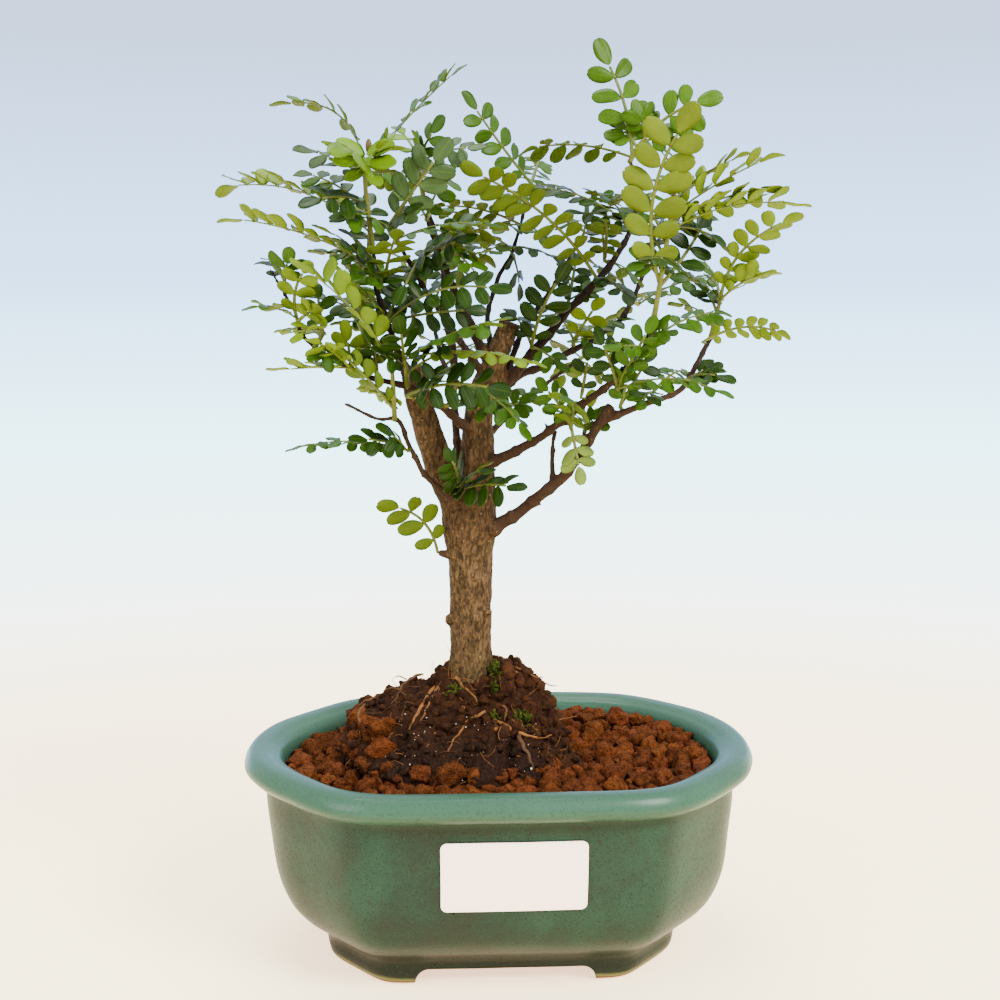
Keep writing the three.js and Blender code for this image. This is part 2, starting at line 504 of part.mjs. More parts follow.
// Direction, side and upward axes of a frond that runs from its base to its tip.
function frondAxes(base, tip, facing) {
  const along = tip.clone().sub(base);
  const length = along.length();
  along.normalize();
  const tilt = THREE.MathUtils.degToRad(facing);
  const up = new THREE.Vector3(0.13, -Math.sin(tilt), Math.cos(tilt));
  up.addScaledVector(along, -up.dot(along)).normalize();
  return { along, across: along.clone().cross(up), up, length };
}

function frondSolid(base, tip, [facing, leaflet, arch, sweep], thickness) {
  const { along, across, up, length } = frondAxes(base, tip, facing);
  const { outline, triangles } = frondShape(length, leaflet);
  const fold = 0.22;
  const points = [];
  for (const half of [-thickness / 2, thickness / 2]) {
    for (const [u, v] of outline) {
      const bow = 4 * (u / length) * (1 - u / length) * length;
      points.push(base.clone()
        .addScaledVector(along, u)
        .addScaledVector(across, v + sweep * bow)
        .addScaledVector(up, half + arch * bow - fold * Math.abs(v)));
    }
  }
  const count = outline.length;
  const index = [];
  for (const [a, b, c] of triangles) index.push(a, b, c, count + c, count + b, count + a);
  for (const [a, b] of rimEdges(triangles)) index.push(b, a, count + a, b, count + a, count + b);
  const geometry = new THREE.BufferGeometry().setFromPoints(points);
  geometry.setIndex(index);
  return toSolid(geometry);
}

// Small turns about a frond's base, and its length kept or cut a little, in the order tried
// until the frond is clear of its neighbours.
function swings() {
  const reaches = [[5, 1], [10, 1], [16, 1], [0, 0.8], [12, 0.8], [24, 1], [24, 0.8], [36, 0.7]];
  const list = [[0, 0, 1]];
  for (const [reach, stretch] of reaches) {
    for (let k = 0; k < (reach ? 8 : 1); k += 1) {
      const turn = (Math.PI * k) / 4;
      list.push([reach * Math.cos(turn), reach * Math.sin(turn), stretch]);
    }
  }
  return list;
}

function swungTip(base, tip, [yaw, pitch, stretch]) {
  const arm = tip.clone().sub(base).multiplyScalar(stretch);
  const flat = new THREE.Vector3(-arm.y, arm.x, 0).normalize();
  arm.applyAxisAngle(flat, THREE.MathUtils.degToRad(-pitch));
  arm.applyAxisAngle(new THREE.Vector3(0, 0, 1), THREE.MathUtils.degToRad(yaw));
  return base.clone().add(arm);
}

function touches(solid, others) {
  const box = solid.boundingBox();
  return others.some(({ solid: other, box: far }) => {
    const apart = [0, 1, 2].some((k) => box.min[k] > far.max[k] || box.max[k] < far.min[k]);
    return !apart && !solid.intersect(other).isEmpty();
  });
}

// A spray's foot on the bark nearest to a point, a gap away from it, and the way out of the wood.
function seatOnWood(point) {
  let best = { distance: Infinity };
  for (const [, route] of Object.values(boughs)) {
    for (let i = 0; i < route.length - 1; i += 1) {
      const a = new THREE.Vector3(...route[i].slice(0, 3));
      const b = new THREE.Vector3(...route[i + 1].slice(0, 3));
      const centre = new THREE.Line3(a, b).closestPointToPoint(point, true, new THREE.Vector3());
      const share = centre.distanceTo(a) / b.distanceTo(a);
      const atEnd = i === route.length - 2 && share > 0.999;
      const radius = atEnd ? 0 : THREE.MathUtils.lerp(route[i][3], route[i + 1][3], share);
      const distance = point.distanceTo(centre) - radius;
      if (distance < best.distance) best = { distance, centre, radius };
    }
  }
  const outward = point.clone().sub(best.centre).normalize();
  const foot = best.centre.clone().addScaledVector(outward, best.radius + gap);
  return { foot, outward };
}

// One or two fronds start close to the bark; more of them start along a shoot.
function makeSpray([point, endPoint, fronds], placed) {
  const { foot, outward } = seatOnWood(new THREE.Vector3(...point));
  const hub = foot.clone().addScaledVector(outward, 0.5);
  const end = endPoint ? new THREE.Vector3(...endPoint) : foot.clone().addScaledVector(outward, 3.4);
  const onShoot = endPoint || fronds.length > 2;
  const lead = onShoot ? 0 : 0.45;
  const lean = end.clone().sub(foot).normalize().cross(outward).length();
  const start = foot.clone().addScaledVector(outward, 0.7 * lean);
  let spray = onShoot ? taperedTube([[...start, 0.7], [...end, 0.65]], 3) : null;
  for (const [i, [share, x, y, z, ...form]] of fronds.entries()) {
    const step = endPoint ? share : 0.95 - (0.75 * i) / fronds.length;
    const base = onShoot ? hub.clone().lerp(end, step) : hub;
    const aim = new THREE.Vector3(x, y, z);
    const place = (swing, thickness) => {
      const tip = swungTip(base, aim, swing);
      const root = base.clone().addScaledVector(tip.clone().sub(base).normalize(), -lead);
      return frondSolid(root, tip, form, thickness);
    };
    const clear = swings().find((swing) => !touches(place(swing, 2 * gap + bladeThickness), placed));
    const frond = place(clear, bladeThickness);
    spray = spray ? spray.add(frond) : frond;
  }
  return spray;
}

// The wood
function makeWood() {
  let wood = null;
  for (const [sides, route] of Object.values(boughs)) {
    const bough = taperedTube(route, sides);
    wood = wood ? wood.add(bough) : bough;
  }
  return wood;
}

function part(name, solid, finish) {
  const material = new THREE.MeshStandardMaterial({ ...finishes[finish], metalness: 0 });
  const mesh = new THREE.Mesh(toGeometry(solid), material);
  mesh.name = name;
  return mesh;
}

const group = new THREE.Group();
const wood = makeWood();
const trunkHole = taperedTube(boughs.trunk[1].slice(0, 5), boughs.trunk[0], gap + 0.05);
group.add(part('pot', makePot(), 'glaze'));
group.add(part('blank_label', makeLabel(), 'card'));
group.add(part('soil', makeSoil(), 'grit'));
group.add(part('root_ball', rootBallSolid(0).subtract(trunkHole), 'rootSoil'));
group.add(part('trunk_and_branches', wood, 'bark'));

const placed = [{ solid: wood, box: wood.boundingBox() }];
sprays.forEach((row, i) => {
  const spray = makeSpray(row, placed);
  placed.push({ solid: spray, box: spray.boundingBox() });
  group.add(part(`spray_${String(i + 1).padStart(2, '0')}`, spray, 'leaf'));
});

export default group;
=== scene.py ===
import math
import bmesh
import bpy
import numpy as np
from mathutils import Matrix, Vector, kdtree, noise
from mathutils.bvhtree import BVHTree


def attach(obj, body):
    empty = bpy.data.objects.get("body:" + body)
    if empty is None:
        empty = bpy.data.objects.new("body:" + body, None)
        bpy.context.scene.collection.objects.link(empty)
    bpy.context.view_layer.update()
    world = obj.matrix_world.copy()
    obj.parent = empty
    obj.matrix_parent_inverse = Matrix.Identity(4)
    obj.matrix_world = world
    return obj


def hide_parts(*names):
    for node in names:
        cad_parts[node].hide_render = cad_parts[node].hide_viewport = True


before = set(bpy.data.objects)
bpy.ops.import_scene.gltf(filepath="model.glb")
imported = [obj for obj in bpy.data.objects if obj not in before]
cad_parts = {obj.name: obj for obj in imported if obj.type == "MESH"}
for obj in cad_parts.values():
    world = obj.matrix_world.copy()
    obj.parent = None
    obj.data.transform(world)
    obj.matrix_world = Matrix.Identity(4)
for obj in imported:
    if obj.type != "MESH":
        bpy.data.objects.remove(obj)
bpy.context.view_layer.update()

# All sizes below are in millimetres; pieces are scaled to metres when their mesh is made.
mm = 0.001


# Camera, floor and lights

view = {"place": (-19.7, -376.5, 166.6), "down": 6.53, "turn": -3.0, "lens": 50.2, "film": 36.0}
studio = {
    "light": 5.0,  # how bright a white surface is under all the light
    "floorColour": (247, 238, 230), "floorGlow": (1.0, 0.62, 0.42), "floorGlowStrength": 2.2,
    "floorRadius": 1400, "floorFade": (130, 630), "floorCorners": 128,
    # place, target and size in metres, power and colour
    "lights": {
        "KeyLight": ((0.75, -0.85, 0.95), (0, 0, 0.1), 0.6, 46, (1, 0.97, 0.93)),
        "FillLight": ((-0.95, -0.7, 0.6), (0, 0, 0.1), 0.8, 14, (0.97, 0.98, 1)),
        "TopLight": ((-0.1, 0.25, 1.3), (0, 0, 0.12), 0.7, 16, (1, 0.99, 0.97)),
    },
}


def setCamera():
    lens = bpy.data.cameras.new("Camera")
    lens.lens = view["lens"]
    lens.sensor_width = view["film"]
    lens.clip_start = 0.01
    camera = bpy.data.objects.new("Camera", lens)
    camera.location = [value * mm for value in view["place"]]
    camera.rotation_euler = (math.radians(90 - view["down"]), 0, math.radians(view["turn"]))
    bpy.context.scene.collection.objects.link(camera)
    bpy.context.scene.camera = camera


setCamera()
print("camera set")


# Shader expressions

class Wire:  # a node's output, used in sums
    def __init__(self, sheet, socket):
        self.sheet = sheet
        self.socket = socket

    def join(self, kind, first, second):
        return self.sheet.add("ShaderNodeMath", {"operation": kind}, {0: first, 1: second})

    def __add__(self, other):
        return self.join("ADD", self, other)

    def __radd__(self, other):
        return self.join("ADD", other, self)

    def __sub__(self, other):
        return self.join("SUBTRACT", self, other)

    def __rsub__(self, other):
        return self.join("SUBTRACT", other, self)

    def __mul__(self, other):
        return self.join("MULTIPLY", self, other)

    def __rmul__(self, other):
        return self.join("MULTIPLY", other, self)

    def __truediv__(self, other):
        return self.join("DIVIDE", self, other)

    def __pow__(self, other):
        return self.join("POWER", self, other)


class Sheet:  # one material or world and its nodes
    def __init__(self, block):
        self.block = block
        block.use_nodes = True
        self.nodes = block.node_tree.nodes
        self.links = block.node_tree.links
        self.nodes.clear()

    # any node: its type, its settings, and the values or wires of its sockets
    def add(self, kind, settings=None, inputs=None, out=0):
        node = self.nodes.new(kind)
        for name, value in (settings or {}).items():
            if name == "stops":
                ramp = node.color_ramp
                while len(ramp.elements) < len(value):
                    ramp.elements.new(1.0)
                for element, (place, colour) in zip(ramp.elements, value):
                    element.position = place
                    element.color = (*colour, 1)
            else:
                setattr(node, name, value)
        for name, value in (inputs or {}).items():
            if isinstance(value, Wire):
                self.links.new(value.socket, node.inputs[name])
            elif isinstance(value, tuple) and len(value) == 3 and node.inputs[name].type == "RGBA":
                node.inputs[name].default_value = (*value, 1)
            else:
                node.inputs[name].default_value = value
        return Wire(self, node.outputs[out]) if node.outputs else None

    def place(self, scale=(1, 1, 1)):  # the point on the piece, in millimetres
        point = self.add("ShaderNodeTexCoord", out="Object")
        inputs = {0: point, 1: tuple(1000 * value for value in scale)}
        return self.add("ShaderNodeVectorMath", {"operation": "MULTIPLY"}, inputs)

    def part(self, vector, axis):
        return self.add("ShaderNodeSeparateXYZ", None, {0: vector}, out="XYZ".index(axis))

    def mark(self, name, out="Fac"):  # a value or colour stored on the mesh
        return self.add("ShaderNodeAttribute", {"attribute_name": name}, out=out)

    def noise(self, point, size, detail=3.0, rough=0.55, twist=0.0):
        inputs = {"Vector": point, "Scale": 1 / size, "Detail": detail, "Roughness": rough,
                  "Distortion": twist}
        return self.add("ShaderNodeTexNoise", None, inputs)

    def cells(self, point, size, feature="F1", out="Distance"):
        settings = {"feature": feature}
        return self.add("ShaderNodeTexVoronoi", settings, {"Vector": point, "Scale": 1 / size}, out)

    # 0 below low, 1 above high, smooth between
    def step(self, value, low, high):
        inputs = {"Value": value, "From Min": low, "From Max": high}
        return self.add("ShaderNodeMapRange", {"interpolation_type": "SMOOTHSTEP"}, inputs)

    def ramp(self, value, stops):
        return self.add("ShaderNodeValToRGB", {"stops": stops}, {0: value})

    def mix(self, share, first, second, how="MIX"):
        settings = {"data_type": "RGBA", "blend_type": how}
        return self.add("ShaderNodeMix", settings, {0: share, 6: first, 7: second}, out=2)

    def bump(self, height, depth, strength=1.0):  # depth in millimetres
        inputs = {"Height": height, "Distance": depth * mm, "Strength": strength}
        return self.add("ShaderNodeBump", None, inputs)

    def finish(self, inputs):
        shader = self.add("ShaderNodeBsdfPrincipled", None, inputs)
        self.add("ShaderNodeOutputMaterial", None, {"Surface": shader})
        return self.block


def newSheet(name):
    return Sheet(bpy.data.materials.new(name))


# The colour that is seen as red, green, blue (0 to 255) after Blender's soft tone curve, for a
# surface under all the light
def paint(red, green, blue, most=0.95):
    seen = np.array((red, green, blue)) / 255
    grey = seen @ (0.19, 0.58, 0.23)
    seen = np.clip(grey + 0.70 * (seen - grey), 0.01, 0.99)
    x = np.log(seen / (1 - seen))
    light = np.exp2(((-0.0233 * x - 0.0122) * x + 1.8692) * x - 2.148)
    grey = light @ (0.20, 0.47, 0.33)
    light = grey + 1.57 * (light - grey)
    return tuple(float(value) for value in np.clip(light / studio["light"], 0.0004, most))


# Mesh helpers

# one object from points in millimetres; marks are values or colours per point
def makePiece(name, points, faces, material, marks=None, flat=None):
    mesh = bpy.data.meshes.new(name)
    mesh.from_pydata((np.asarray(points) * mm).tolist(), [], [list(face) for face in faces])
    smooth = np.ones(len(mesh.polygons), bool)
    if flat is not None:
        smooth[flat] = False
    mesh.polygons.foreach_set("use_smooth", smooth)
    for key, values in (marks or {}).items():
        values = np.asarray(values, np.float32)
        if values.ndim == 1:
            mesh.attributes.new(key, "FLOAT", "POINT").data.foreach_set("value", values)
        else:
            colours = np.concatenate([values, np.ones((len(values), 1), np.float32)], 1)
            layer = mesh.attributes.new(key, "FLOAT_COLOR", "POINT")
            layer.data.foreach_set("color", colours.ravel())
    mesh.materials.append(material)
    mesh.update()
    piece = bpy.data.objects.new(name, mesh)
    bpy.context.scene.collection.objects.link(piece)
    return piece


def settle(piece, slotName, *nodes):
    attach(piece, "root")
    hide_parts(*nodes)
    return piece


# collects many small forms into one mesh
class Heap:
    def __init__(self):
        self.points = []
        self.faces = []
        self.marks = {}
        self.flat = []
        self.count = 0

    def add(self, points, faces, flatFrom=None, **marks):
        if flatFrom is not None:
            start = len(self.faces)
            self.flat.extend(range(start + flatFrom, start + len(faces)))
        self.points.append(points)
        self.faces.extend([[corner + self.count for corner in face] for face in faces])
        for key, values in marks.items():
            values = np.asarray(values, float)
            shared = values.ndim == 0 or (values.ndim == 1 and len(values) == 3 != len(points))
            if shared and values.ndim:
                values = np.tile(values, (len(points), 1))
            elif shared:
                values = np.full(len(points), values)
            self.marks.setdefault(key, []).append(values)
        self.count += len(points)

    def make(self, name, material):
        marks = {key: np.concatenate(values) for key, values in self.marks.items()}
        return makePiece(name, np.concatenate(self.points), self.faces, material, marks, self.flat)


# a smooth curve through points, with extra points in each span
def smoothLine(points, steps):
    points = np.asarray(points, float)
    padded = np.vstack([2 * points[0] - points[1], points, 2 * points[-1] - points[-2]])
    rows = []
    for i in range(1, len(padded) - 2):
        a, b, c, d = padded[i - 1:i + 3]
        for t in np.arange(steps) / steps:
            rows.append(0.5 * (2 * b + (c - a) * t + (2 * a - 5 * b + 4 * c - d) * t ** 2
                               + (3 * b - a - 3 * c + d) * t ** 3))
    rows.append(points[-1])
    return np.array(rows)


def unit(vectors):
    vectors = np.asarray(vectors, float)
    return vectors / np.maximum(np.linalg.norm(vectors, axis=-1, keepdims=True), 1e-9)


# quads between rings of equal counts
def bandFaces(rings, count):
    faces = []
    for i in range(rings - 1):
        for j in range(count):
            k = (j + 1) % count
            faces.append((i * count + j, i * count + k, (i + 1) * count + k, (i + 1) * count + j))
    return faces


# the same, with both ends closed by fans to the two points that follow the rings
def cappedFaces(rings, count):
    faces = bandFaces(rings, count)
    middle, last = rings * count, (rings - 1) * count
    for j in range(count):
        k = (j + 1) % count
        faces.append((middle, k, j))
        faces.append((middle + 1, last + j, last + k))
    return faces


def fullTurn(count):  # even angles round a circle
    return 2 * np.pi * np.arange(count) / count


# frames that turn as little as possible along a line
def lineFrames(line):
    along = unit(np.gradient(line, axis=0))
    side = np.cross(along[0], (0.31, 0.87, 0.38))
    sides = []
    for direction in along:
        side = side - direction * np.dot(side, direction)
        side = side / np.linalg.norm(side)
        sides.append(side)
    sides = np.array(sides)
    return along, sides, np.cross(along, sides)


# a closed tube along a line, with a radius at each of its points
def tube(line, radii, sides=8):
    line = np.asarray(line, float)
    first, second = lineFrames(line)[1:]
    turns = fullTurn(sides)
    radii = np.asarray(radii)[:, None, None]
    rings = (line[:, None] + first[:, None] * (np.cos(turns)[:, None] * radii)
             + second[:, None] * (np.sin(turns)[:, None] * radii))
    points = np.vstack([rings.reshape(-1, 3), line[:1], line[-1:]])
    return points, cappedFaces(len(line), sides)


# smooth random lumps: a sum of waves, the same for the same seed
def lumps(points, size, seed, waves=7):
    draw = np.random.default_rng(seed)
    ways = unit(draw.normal(size=(waves, 3)))
    ways = ways * draw.uniform(0.6, 1.7, (waves, 1)) * 2 * np.pi / size
    phases = draw.uniform(0, 2 * np.pi, waves)
    return np.sin(points @ ways.T + phases).sum(1) / math.sqrt(waves)


def ballMesh(cuts):
    ball = bmesh.new()
    bmesh.ops.create_icosphere(ball, subdivisions=cuts, radius=1)
    points = np.array([vertex.co[:] for vertex in ball.verts])
    faces = [[vertex.index for vertex in face.verts] for face in ball.faces]
    ball.free()
    return points, faces


# The pot

pot = {
    "halfLength": 70.0, "halfDepth": 53.0, "cornerReach": 66.3, "cornerNormal": (0.762, 0.647),
    "softness": [(44, 24), (51, 13), (56, 13)],  # how sharp the plan's corners are, by height
    "columns": 208, "steps": 5, "waviness": 0.28, "smoothBelow": 38,  # the last in degrees
    # half-length of the pot and height: up the foot ring, up the wall and down the inside
    "foot": [(45.2, 0), (46.6, 0.5), (47.5, 1.7), (47.9, 3.4)],
    "outside": [(48, 5), (48.6, 6.9), (50.6, 8.9), (54.7, 12.2), (58.3, 17), (61, 25),
                (62.6, 38), (64.2, 49), (67.8, 50.4), (70, 53), (68.6, 56.2), (66, 57)],
    "inside": [(62.5, 56.2), (59.4, 52), (57, 30), (53, 19), (49.5, 14.5), (45, 10)],
    "floorTop": 10, "drainRadius": 4.5, "drainPlace": 20.0, "drainReach": 20,
    "archTop": 4.6, "archCorner": 3.6, "archHalfLength": 23.5, "archHalfDepth": 12.0,
    "hollow": (39.5, 22.4), "cutReach": 80, "cutBelow": -2,
}
glaze = {
    # heights where each band of colour starts and ends
    "rim": (47, 55), "low": (6, 27), "grooveTop": (10.5, 13.5), "grooveFoot": (5.5, 8),
    "foot": (6, 11), "underRim": (45, 48.5), "rimStart": (49, 51), "edge": (1.4, 2.6),
    "bare": (0.9, 1.4), "ceiling": (5.6, 6.2),
    # painted light: the body is painted lighter towards the right, where the key light falls
    "lit": (-25, 45),  # from left to right
    "deep": paint(70, 92, 78), "jade": paint(74, 110, 92), "litJade": paint(92, 132, 110),
    "brown": paint(80, 84, 72), "lowTone": paint(60, 66, 56), "grooveTone": paint(54, 48, 40),
    "footTone": paint(50, 46, 38), "underTone": paint(78, 84, 70), "rimTone": paint(116, 156, 136),
    "darkSpeck": paint(72, 62, 52), "paleSpeck": paint(116, 146, 126), "pit": paint(48, 36, 26),
    "edgeTone": paint(176, 176, 132), "clay": (paint(150, 106, 72), paint(184, 140, 100)),
}


# how far the eight-sided plan reaches at an angle, for its half-length at a height
def planReach(angle, halfLength, z):
    softness = np.interp(z, *zip(*pot["softness"]))
    inset = pot["halfLength"] - halfLength
    c, s = np.abs(np.cos(angle)), np.abs(np.sin(angle))
    nx, ny = pot["cornerNormal"]
    faces = [c / halfLength, s / (pot["halfDepth"] - inset),
             (c * nx + s * ny) / (pot["cornerReach"] - inset)]
    return sum(face ** softness for face in faces) ** (-1 / softness)


def planRing(halfLength, z, columns):
    angle = fullTurn(columns)
    reach = planReach(angle, halfLength, z)
    return np.stack([reach * np.cos(angle), reach * np.sin(angle), np.full(columns, z)], 1)


potProfile = smoothLine(pot["foot"] + pot["outside"] + pot["inside"], pot["steps"])


# the slight unevenness of a pressed pot
def potWave(points):
    out = unit(points * (1, 1, 0))
    shift = lumps(points, 70, 3) * pot["waviness"] + 0.1 * lumps(points, 24, 5)
    return points + out * shift[:, None]


def glazeMaterial():
    sheet = newSheet("jadeGlaze")
    point = sheet.place()
    height = sheet.part(point, "Z")
    clouds = sheet.noise(point, 26, 4, 0.6, 0.4)
    blotches = sheet.noise(point, 9, 3, 0.6)
    specks = sheet.noise(point, 0.62, 2, 0.7)
    fineSpecks = sheet.noise(point, 0.34, 1, 0.5)
    rim = sheet.step(height, *glaze["rim"]) * 0.85 + sheet.step(clouds, 0.5, 0.75) * 0.12
    body = sheet.mix(sheet.step(clouds, 0.36, 0.64), glaze["deep"], glaze["jade"])
    # painted light: a lit copy of the jade on the right side
    lit = sheet.step(sheet.part(point, "X"), *glaze["lit"])
    body = sheet.mix(lit * 0.45, body, glaze["litJade"])
    body = sheet.mix(sheet.step(blotches, 0.42, 0.75) * 0.55, body, glaze["brown"])
    low = (1 - sheet.step(height, *glaze["low"])) * (sheet.step(clouds, 0.34, 0.6) * 0.5 + 0.5)
    body = sheet.mix(low * 0.62, body, glaze["lowTone"])
    groove = 1 - sheet.step(height, *glaze["grooveTop"])
    groove = groove * sheet.step(height, *glaze["grooveFoot"])
    body = sheet.mix(groove * 0.6, body, glaze["grooveTone"])
    body = sheet.mix((1 - sheet.step(height, *glaze["foot"])) * 0.55, body, glaze["footTone"])
    under = sheet.step(height, *glaze["underRim"]) * (1 - sheet.step(height, *glaze["rimStart"]))
    body = sheet.mix(under * 0.5, body, glaze["underTone"])
    colour = sheet.mix(rim, body, glaze["rimTone"])
    dark = sheet.step(specks, 0.53, 0.64) * (1 - rim * 0.6)
    colour = sheet.mix(dark * 0.55, colour, glaze["darkSpeck"])
    pale = sheet.step(fineSpecks, 0.6, 0.72)
    colour = sheet.mix(pale * 0.3, colour, glaze["paleSpeck"])
    pits = 1 - sheet.step(sheet.cells(point, 5.5), 0.05, 0.085)
    pits = pits * sheet.step(blotches, 0.46, 0.6)
    colour = sheet.mix(pits * 0.85, colour, glaze["pit"])
    wobble = height + (blotches - 0.5) * 1.2
    colour = sheet.mix((1 - sheet.step(wobble, *glaze["edge"])) * 0.75, colour, glaze["edgeTone"])
    # bare clay on the feet's soles and under the pot
    clay = 1 - sheet.step(wobble, *glaze["bare"])
    facing = sheet.part(sheet.add("ShaderNodeNewGeometry", out="Normal"), "Z")
    below = (1 - sheet.step(facing, -0.92, -0.8)) * (1 - sheet.step(height, *glaze["ceiling"]))
    settings = {"operation": "MAXIMUM", "use_clamp": True}
    clay = sheet.add("ShaderNodeMath", settings, {0: clay, 1: below})
    colour = sheet.mix(clay, colour, sheet.mix(sheet.noise(point, 2.2), *glaze["clay"]))
    rough = 0.34 + dark * 0.14 + clay * 0.45 + (clouds - 0.5) * 0.1
    relief = sheet.noise(point, 3.5, 2) * 0.5 + specks * 0.3 + fineSpecks * 0.1 - pits * 0.5
    return sheet.finish({"Base Color": colour, "Roughness": rough, "Specular IOR Level": 0.05,
                         "Coat Weight": rim * 0.16 + 0.02, "Coat Roughness": 0.24,
                         "Normal": sheet.bump(relief, 0.16, 0.6)})


# an upright outline in x and z, drawn out along y, or along x when turned
def archBar(halfWidth, turned):
    bend = np.linspace(0, np.pi / 2, 9)
    corner, top = pot["archCorner"], pot["archTop"]
    x = np.concatenate([[halfWidth + 1.2], halfWidth - corner + corner * np.cos(bend)])
    z = np.concatenate([[pot["cutBelow"]], top - corner + corner * np.sin(bend)])
    outline = np.column_stack([np.concatenate([x, -x[::-1]]), np.concatenate([z, z[::-1]])])
    count = len(outline)
    points = np.vstack([np.column_stack([outline[:, 0], np.full(count, y), outline[:, 1]])
                        for y in (pot["cutReach"], -pot["cutReach"])])
    if turned:
        points = points[:, [1, 0, 2]] * (-1, 1, 1)
    faces = bandFaces(2, count) + [tuple(range(count))[::-1], tuple(range(count, 2 * count))]
    return points, faces


# an upright oval bar from below the pot up to a height
def roundBar(halfLength, halfDepth, place, top, count=64):
    turns = fullTurn(count)
    ring = np.stack([place + halfLength * np.cos(turns), halfDepth * np.sin(turns), 0 * turns], 1)
    points = np.vstack([ring + (0, 0, pot["cutBelow"]), ring + (0, 0, top)])
    return points, bandFaces(2, count) + [tuple(range(count))[::-1], tuple(range(count, 2 * count))]


def potPiece():
    columns = pot["columns"]
    rings = [planRing(halfLength, z, columns) for halfLength, z in potProfile]
    points = potWave(np.vstack(rings))
    points[:, 2] += 0.12 * lumps(points * (1, 1, 0.2), 60, 4) * (points[:, 2] > 20)
    points = np.vstack([points, [(0, 0, 0)], [(0, 0, pot["floorTop"])]])
    body = makePiece("Pot", points, cappedFaces(len(rings), columns), glazeMaterial())
    # the arches between the feet, the hollow under the floor and the two drain holes
    cuts = [archBar(pot["archHalfLength"], False), archBar(pot["archHalfDepth"], True),
            roundBar(*pot["hollow"], 0, pot["archTop"] + 0.2)]
    for side in (-1, 1):
        radius = pot["drainRadius"]
        cuts.append(roundBar(radius, radius, side * pot["drainPlace"], pot["drainReach"]))
    for shape in cuts:
        cutter = makePiece("cutter", *shape, body.data.materials[0])
        cut = body.modifiers.new("cut", "BOOLEAN")
        cut.operation = "DIFFERENCE"
        cut.object = cutter
        bpy.context.view_layer.objects.active = body
        bpy.ops.object.modifier_apply(modifier=cut.name)
        bpy.data.objects.remove(cutter)
    body.data.set_sharp_from_angle(angle=math.radians(pot["smoothBelow"]))
    return settle(body, "glaze", "pot")


potPiece()
print("pot made")


# The blank label

label = {
    "left": -17.0, "right": 19.5, "low": 25.8, "high": 44.2, "corner": 1.6,
    "thick": 0.3, "off": 0.25,  # off is the gap to the wall
    # the card is no lamp: its glow is painted brightness
    "columns": 60, "rows": 34, "glow": (1.0, 0.72, 0.7), "paintedGlowStrength": 0.8,
}
# the outer wall alone, from over the groove to under the rim
wallRows = [row for row in potProfile if 9 < row[1] < 49.1][:5 * pot["steps"]]


# how far in front of the middle the wall stands at a place on it
def wallDepth(x, z):
    halfLength = np.interp(z, [row[1] for row in wallRows], [row[0] for row in wallRows])
    depth = pot["halfDepth"] - (pot["halfLength"] - halfLength)
    for _ in range(6):
        angle = np.arctan2(depth, x)
        depth = planReach(angle, halfLength, z) * np.sin(angle)
    return depth


def labelPiece():
    sheet = newSheet("blankCard")
    point = sheet.place()
    shade = sheet.mix(sheet.noise(point, 14), paint(243, 232, 230), paint(246, 235, 233))
    # painted glow: the emission makes the card brighter than its light would
    material = sheet.finish({"Base Color": shade, "Roughness": 0.42,
                             "Emission Color": label["glow"],
                             "Emission Strength": label["paintedGlowStrength"],
                             "Normal": sheet.bump(sheet.noise(point, 0.6), 0.03, 0.5)})
    height, corner = label["high"] - label["low"], label["corner"]
    columns, rows = label["columns"], label["rows"]
    rings = []
    for row in range(rows + 1):
        rise = height * 0.5 * (1 - math.cos(math.pi * row / rows))
        edge = min(rise, height - rise)
        tuck = 0.0  # how far the round corners draw the row in
        if edge < corner:
            tuck = corner - math.sqrt(max(corner ** 2 - (corner - edge) ** 2, 0))
        xs = np.linspace(label["left"] + tuck, label["right"] - tuck, columns + 1)
        z = label["low"] + rise
        depth = np.array([wallDepth(x, z) for x in xs])
        inner = potWave(np.stack([xs, -depth, np.full(columns + 1, z)], 1)) - (0, label["off"], 0)
        outer = inner - (0, label["thick"], 0)
        rings.append(np.vstack([outer, inner[::-1]]))
    count = 2 * (columns + 1)
    points = np.vstack(rings)
    faces = bandFaces(rows + 1, count)
    top = rows * count
    for j in range(columns):
        faces.append((j + 1, j, count - 1 - j, count - 2 - j))
        faces.append((top + j, top + j + 1, top + count - 2 - j, top + count - 1 - j))
    piece = makePiece("BlankLabel", points, faces, material, flat=range(len(faces)))
    return settle(piece, "card", "blank_label")


labelPiece()
print("label made")


# Broken grains, used for the soil and the root ball

def grainShapes(count, cuts, seed):
    draw = np.random.default_rng(seed)
    ball, faces = ballMesh(cuts)
    shapes = []
    for k in range(count):
        points = ball * draw.uniform(0.8, 1.2, 3)
        for _ in range(8):
            way = unit(draw.normal(size=3))
            reach = draw.uniform(0.52, 0.88)
            points = points - way * np.maximum(points @ way - reach, 0)[:, None] * 0.92
        points = points * 1.12
        swell = 0.11 * lumps(points, 0.95, seed + 3 * k)
        swell = swell + 0.06 * lumps(points, 0.42, seed + 3 * k + 1)
        shapes.append(points * (1 + swell)[:, None])
    return shapes, faces


def randomTurn(draw):
    first = unit(draw.normal(size=3))
    second = unit(np.cross(first, draw.normal(size=3)))
    return np.stack([first, second, np.cross(first, second)])


# The root ball: rings from the bottom up as height, half width, half depth and middle

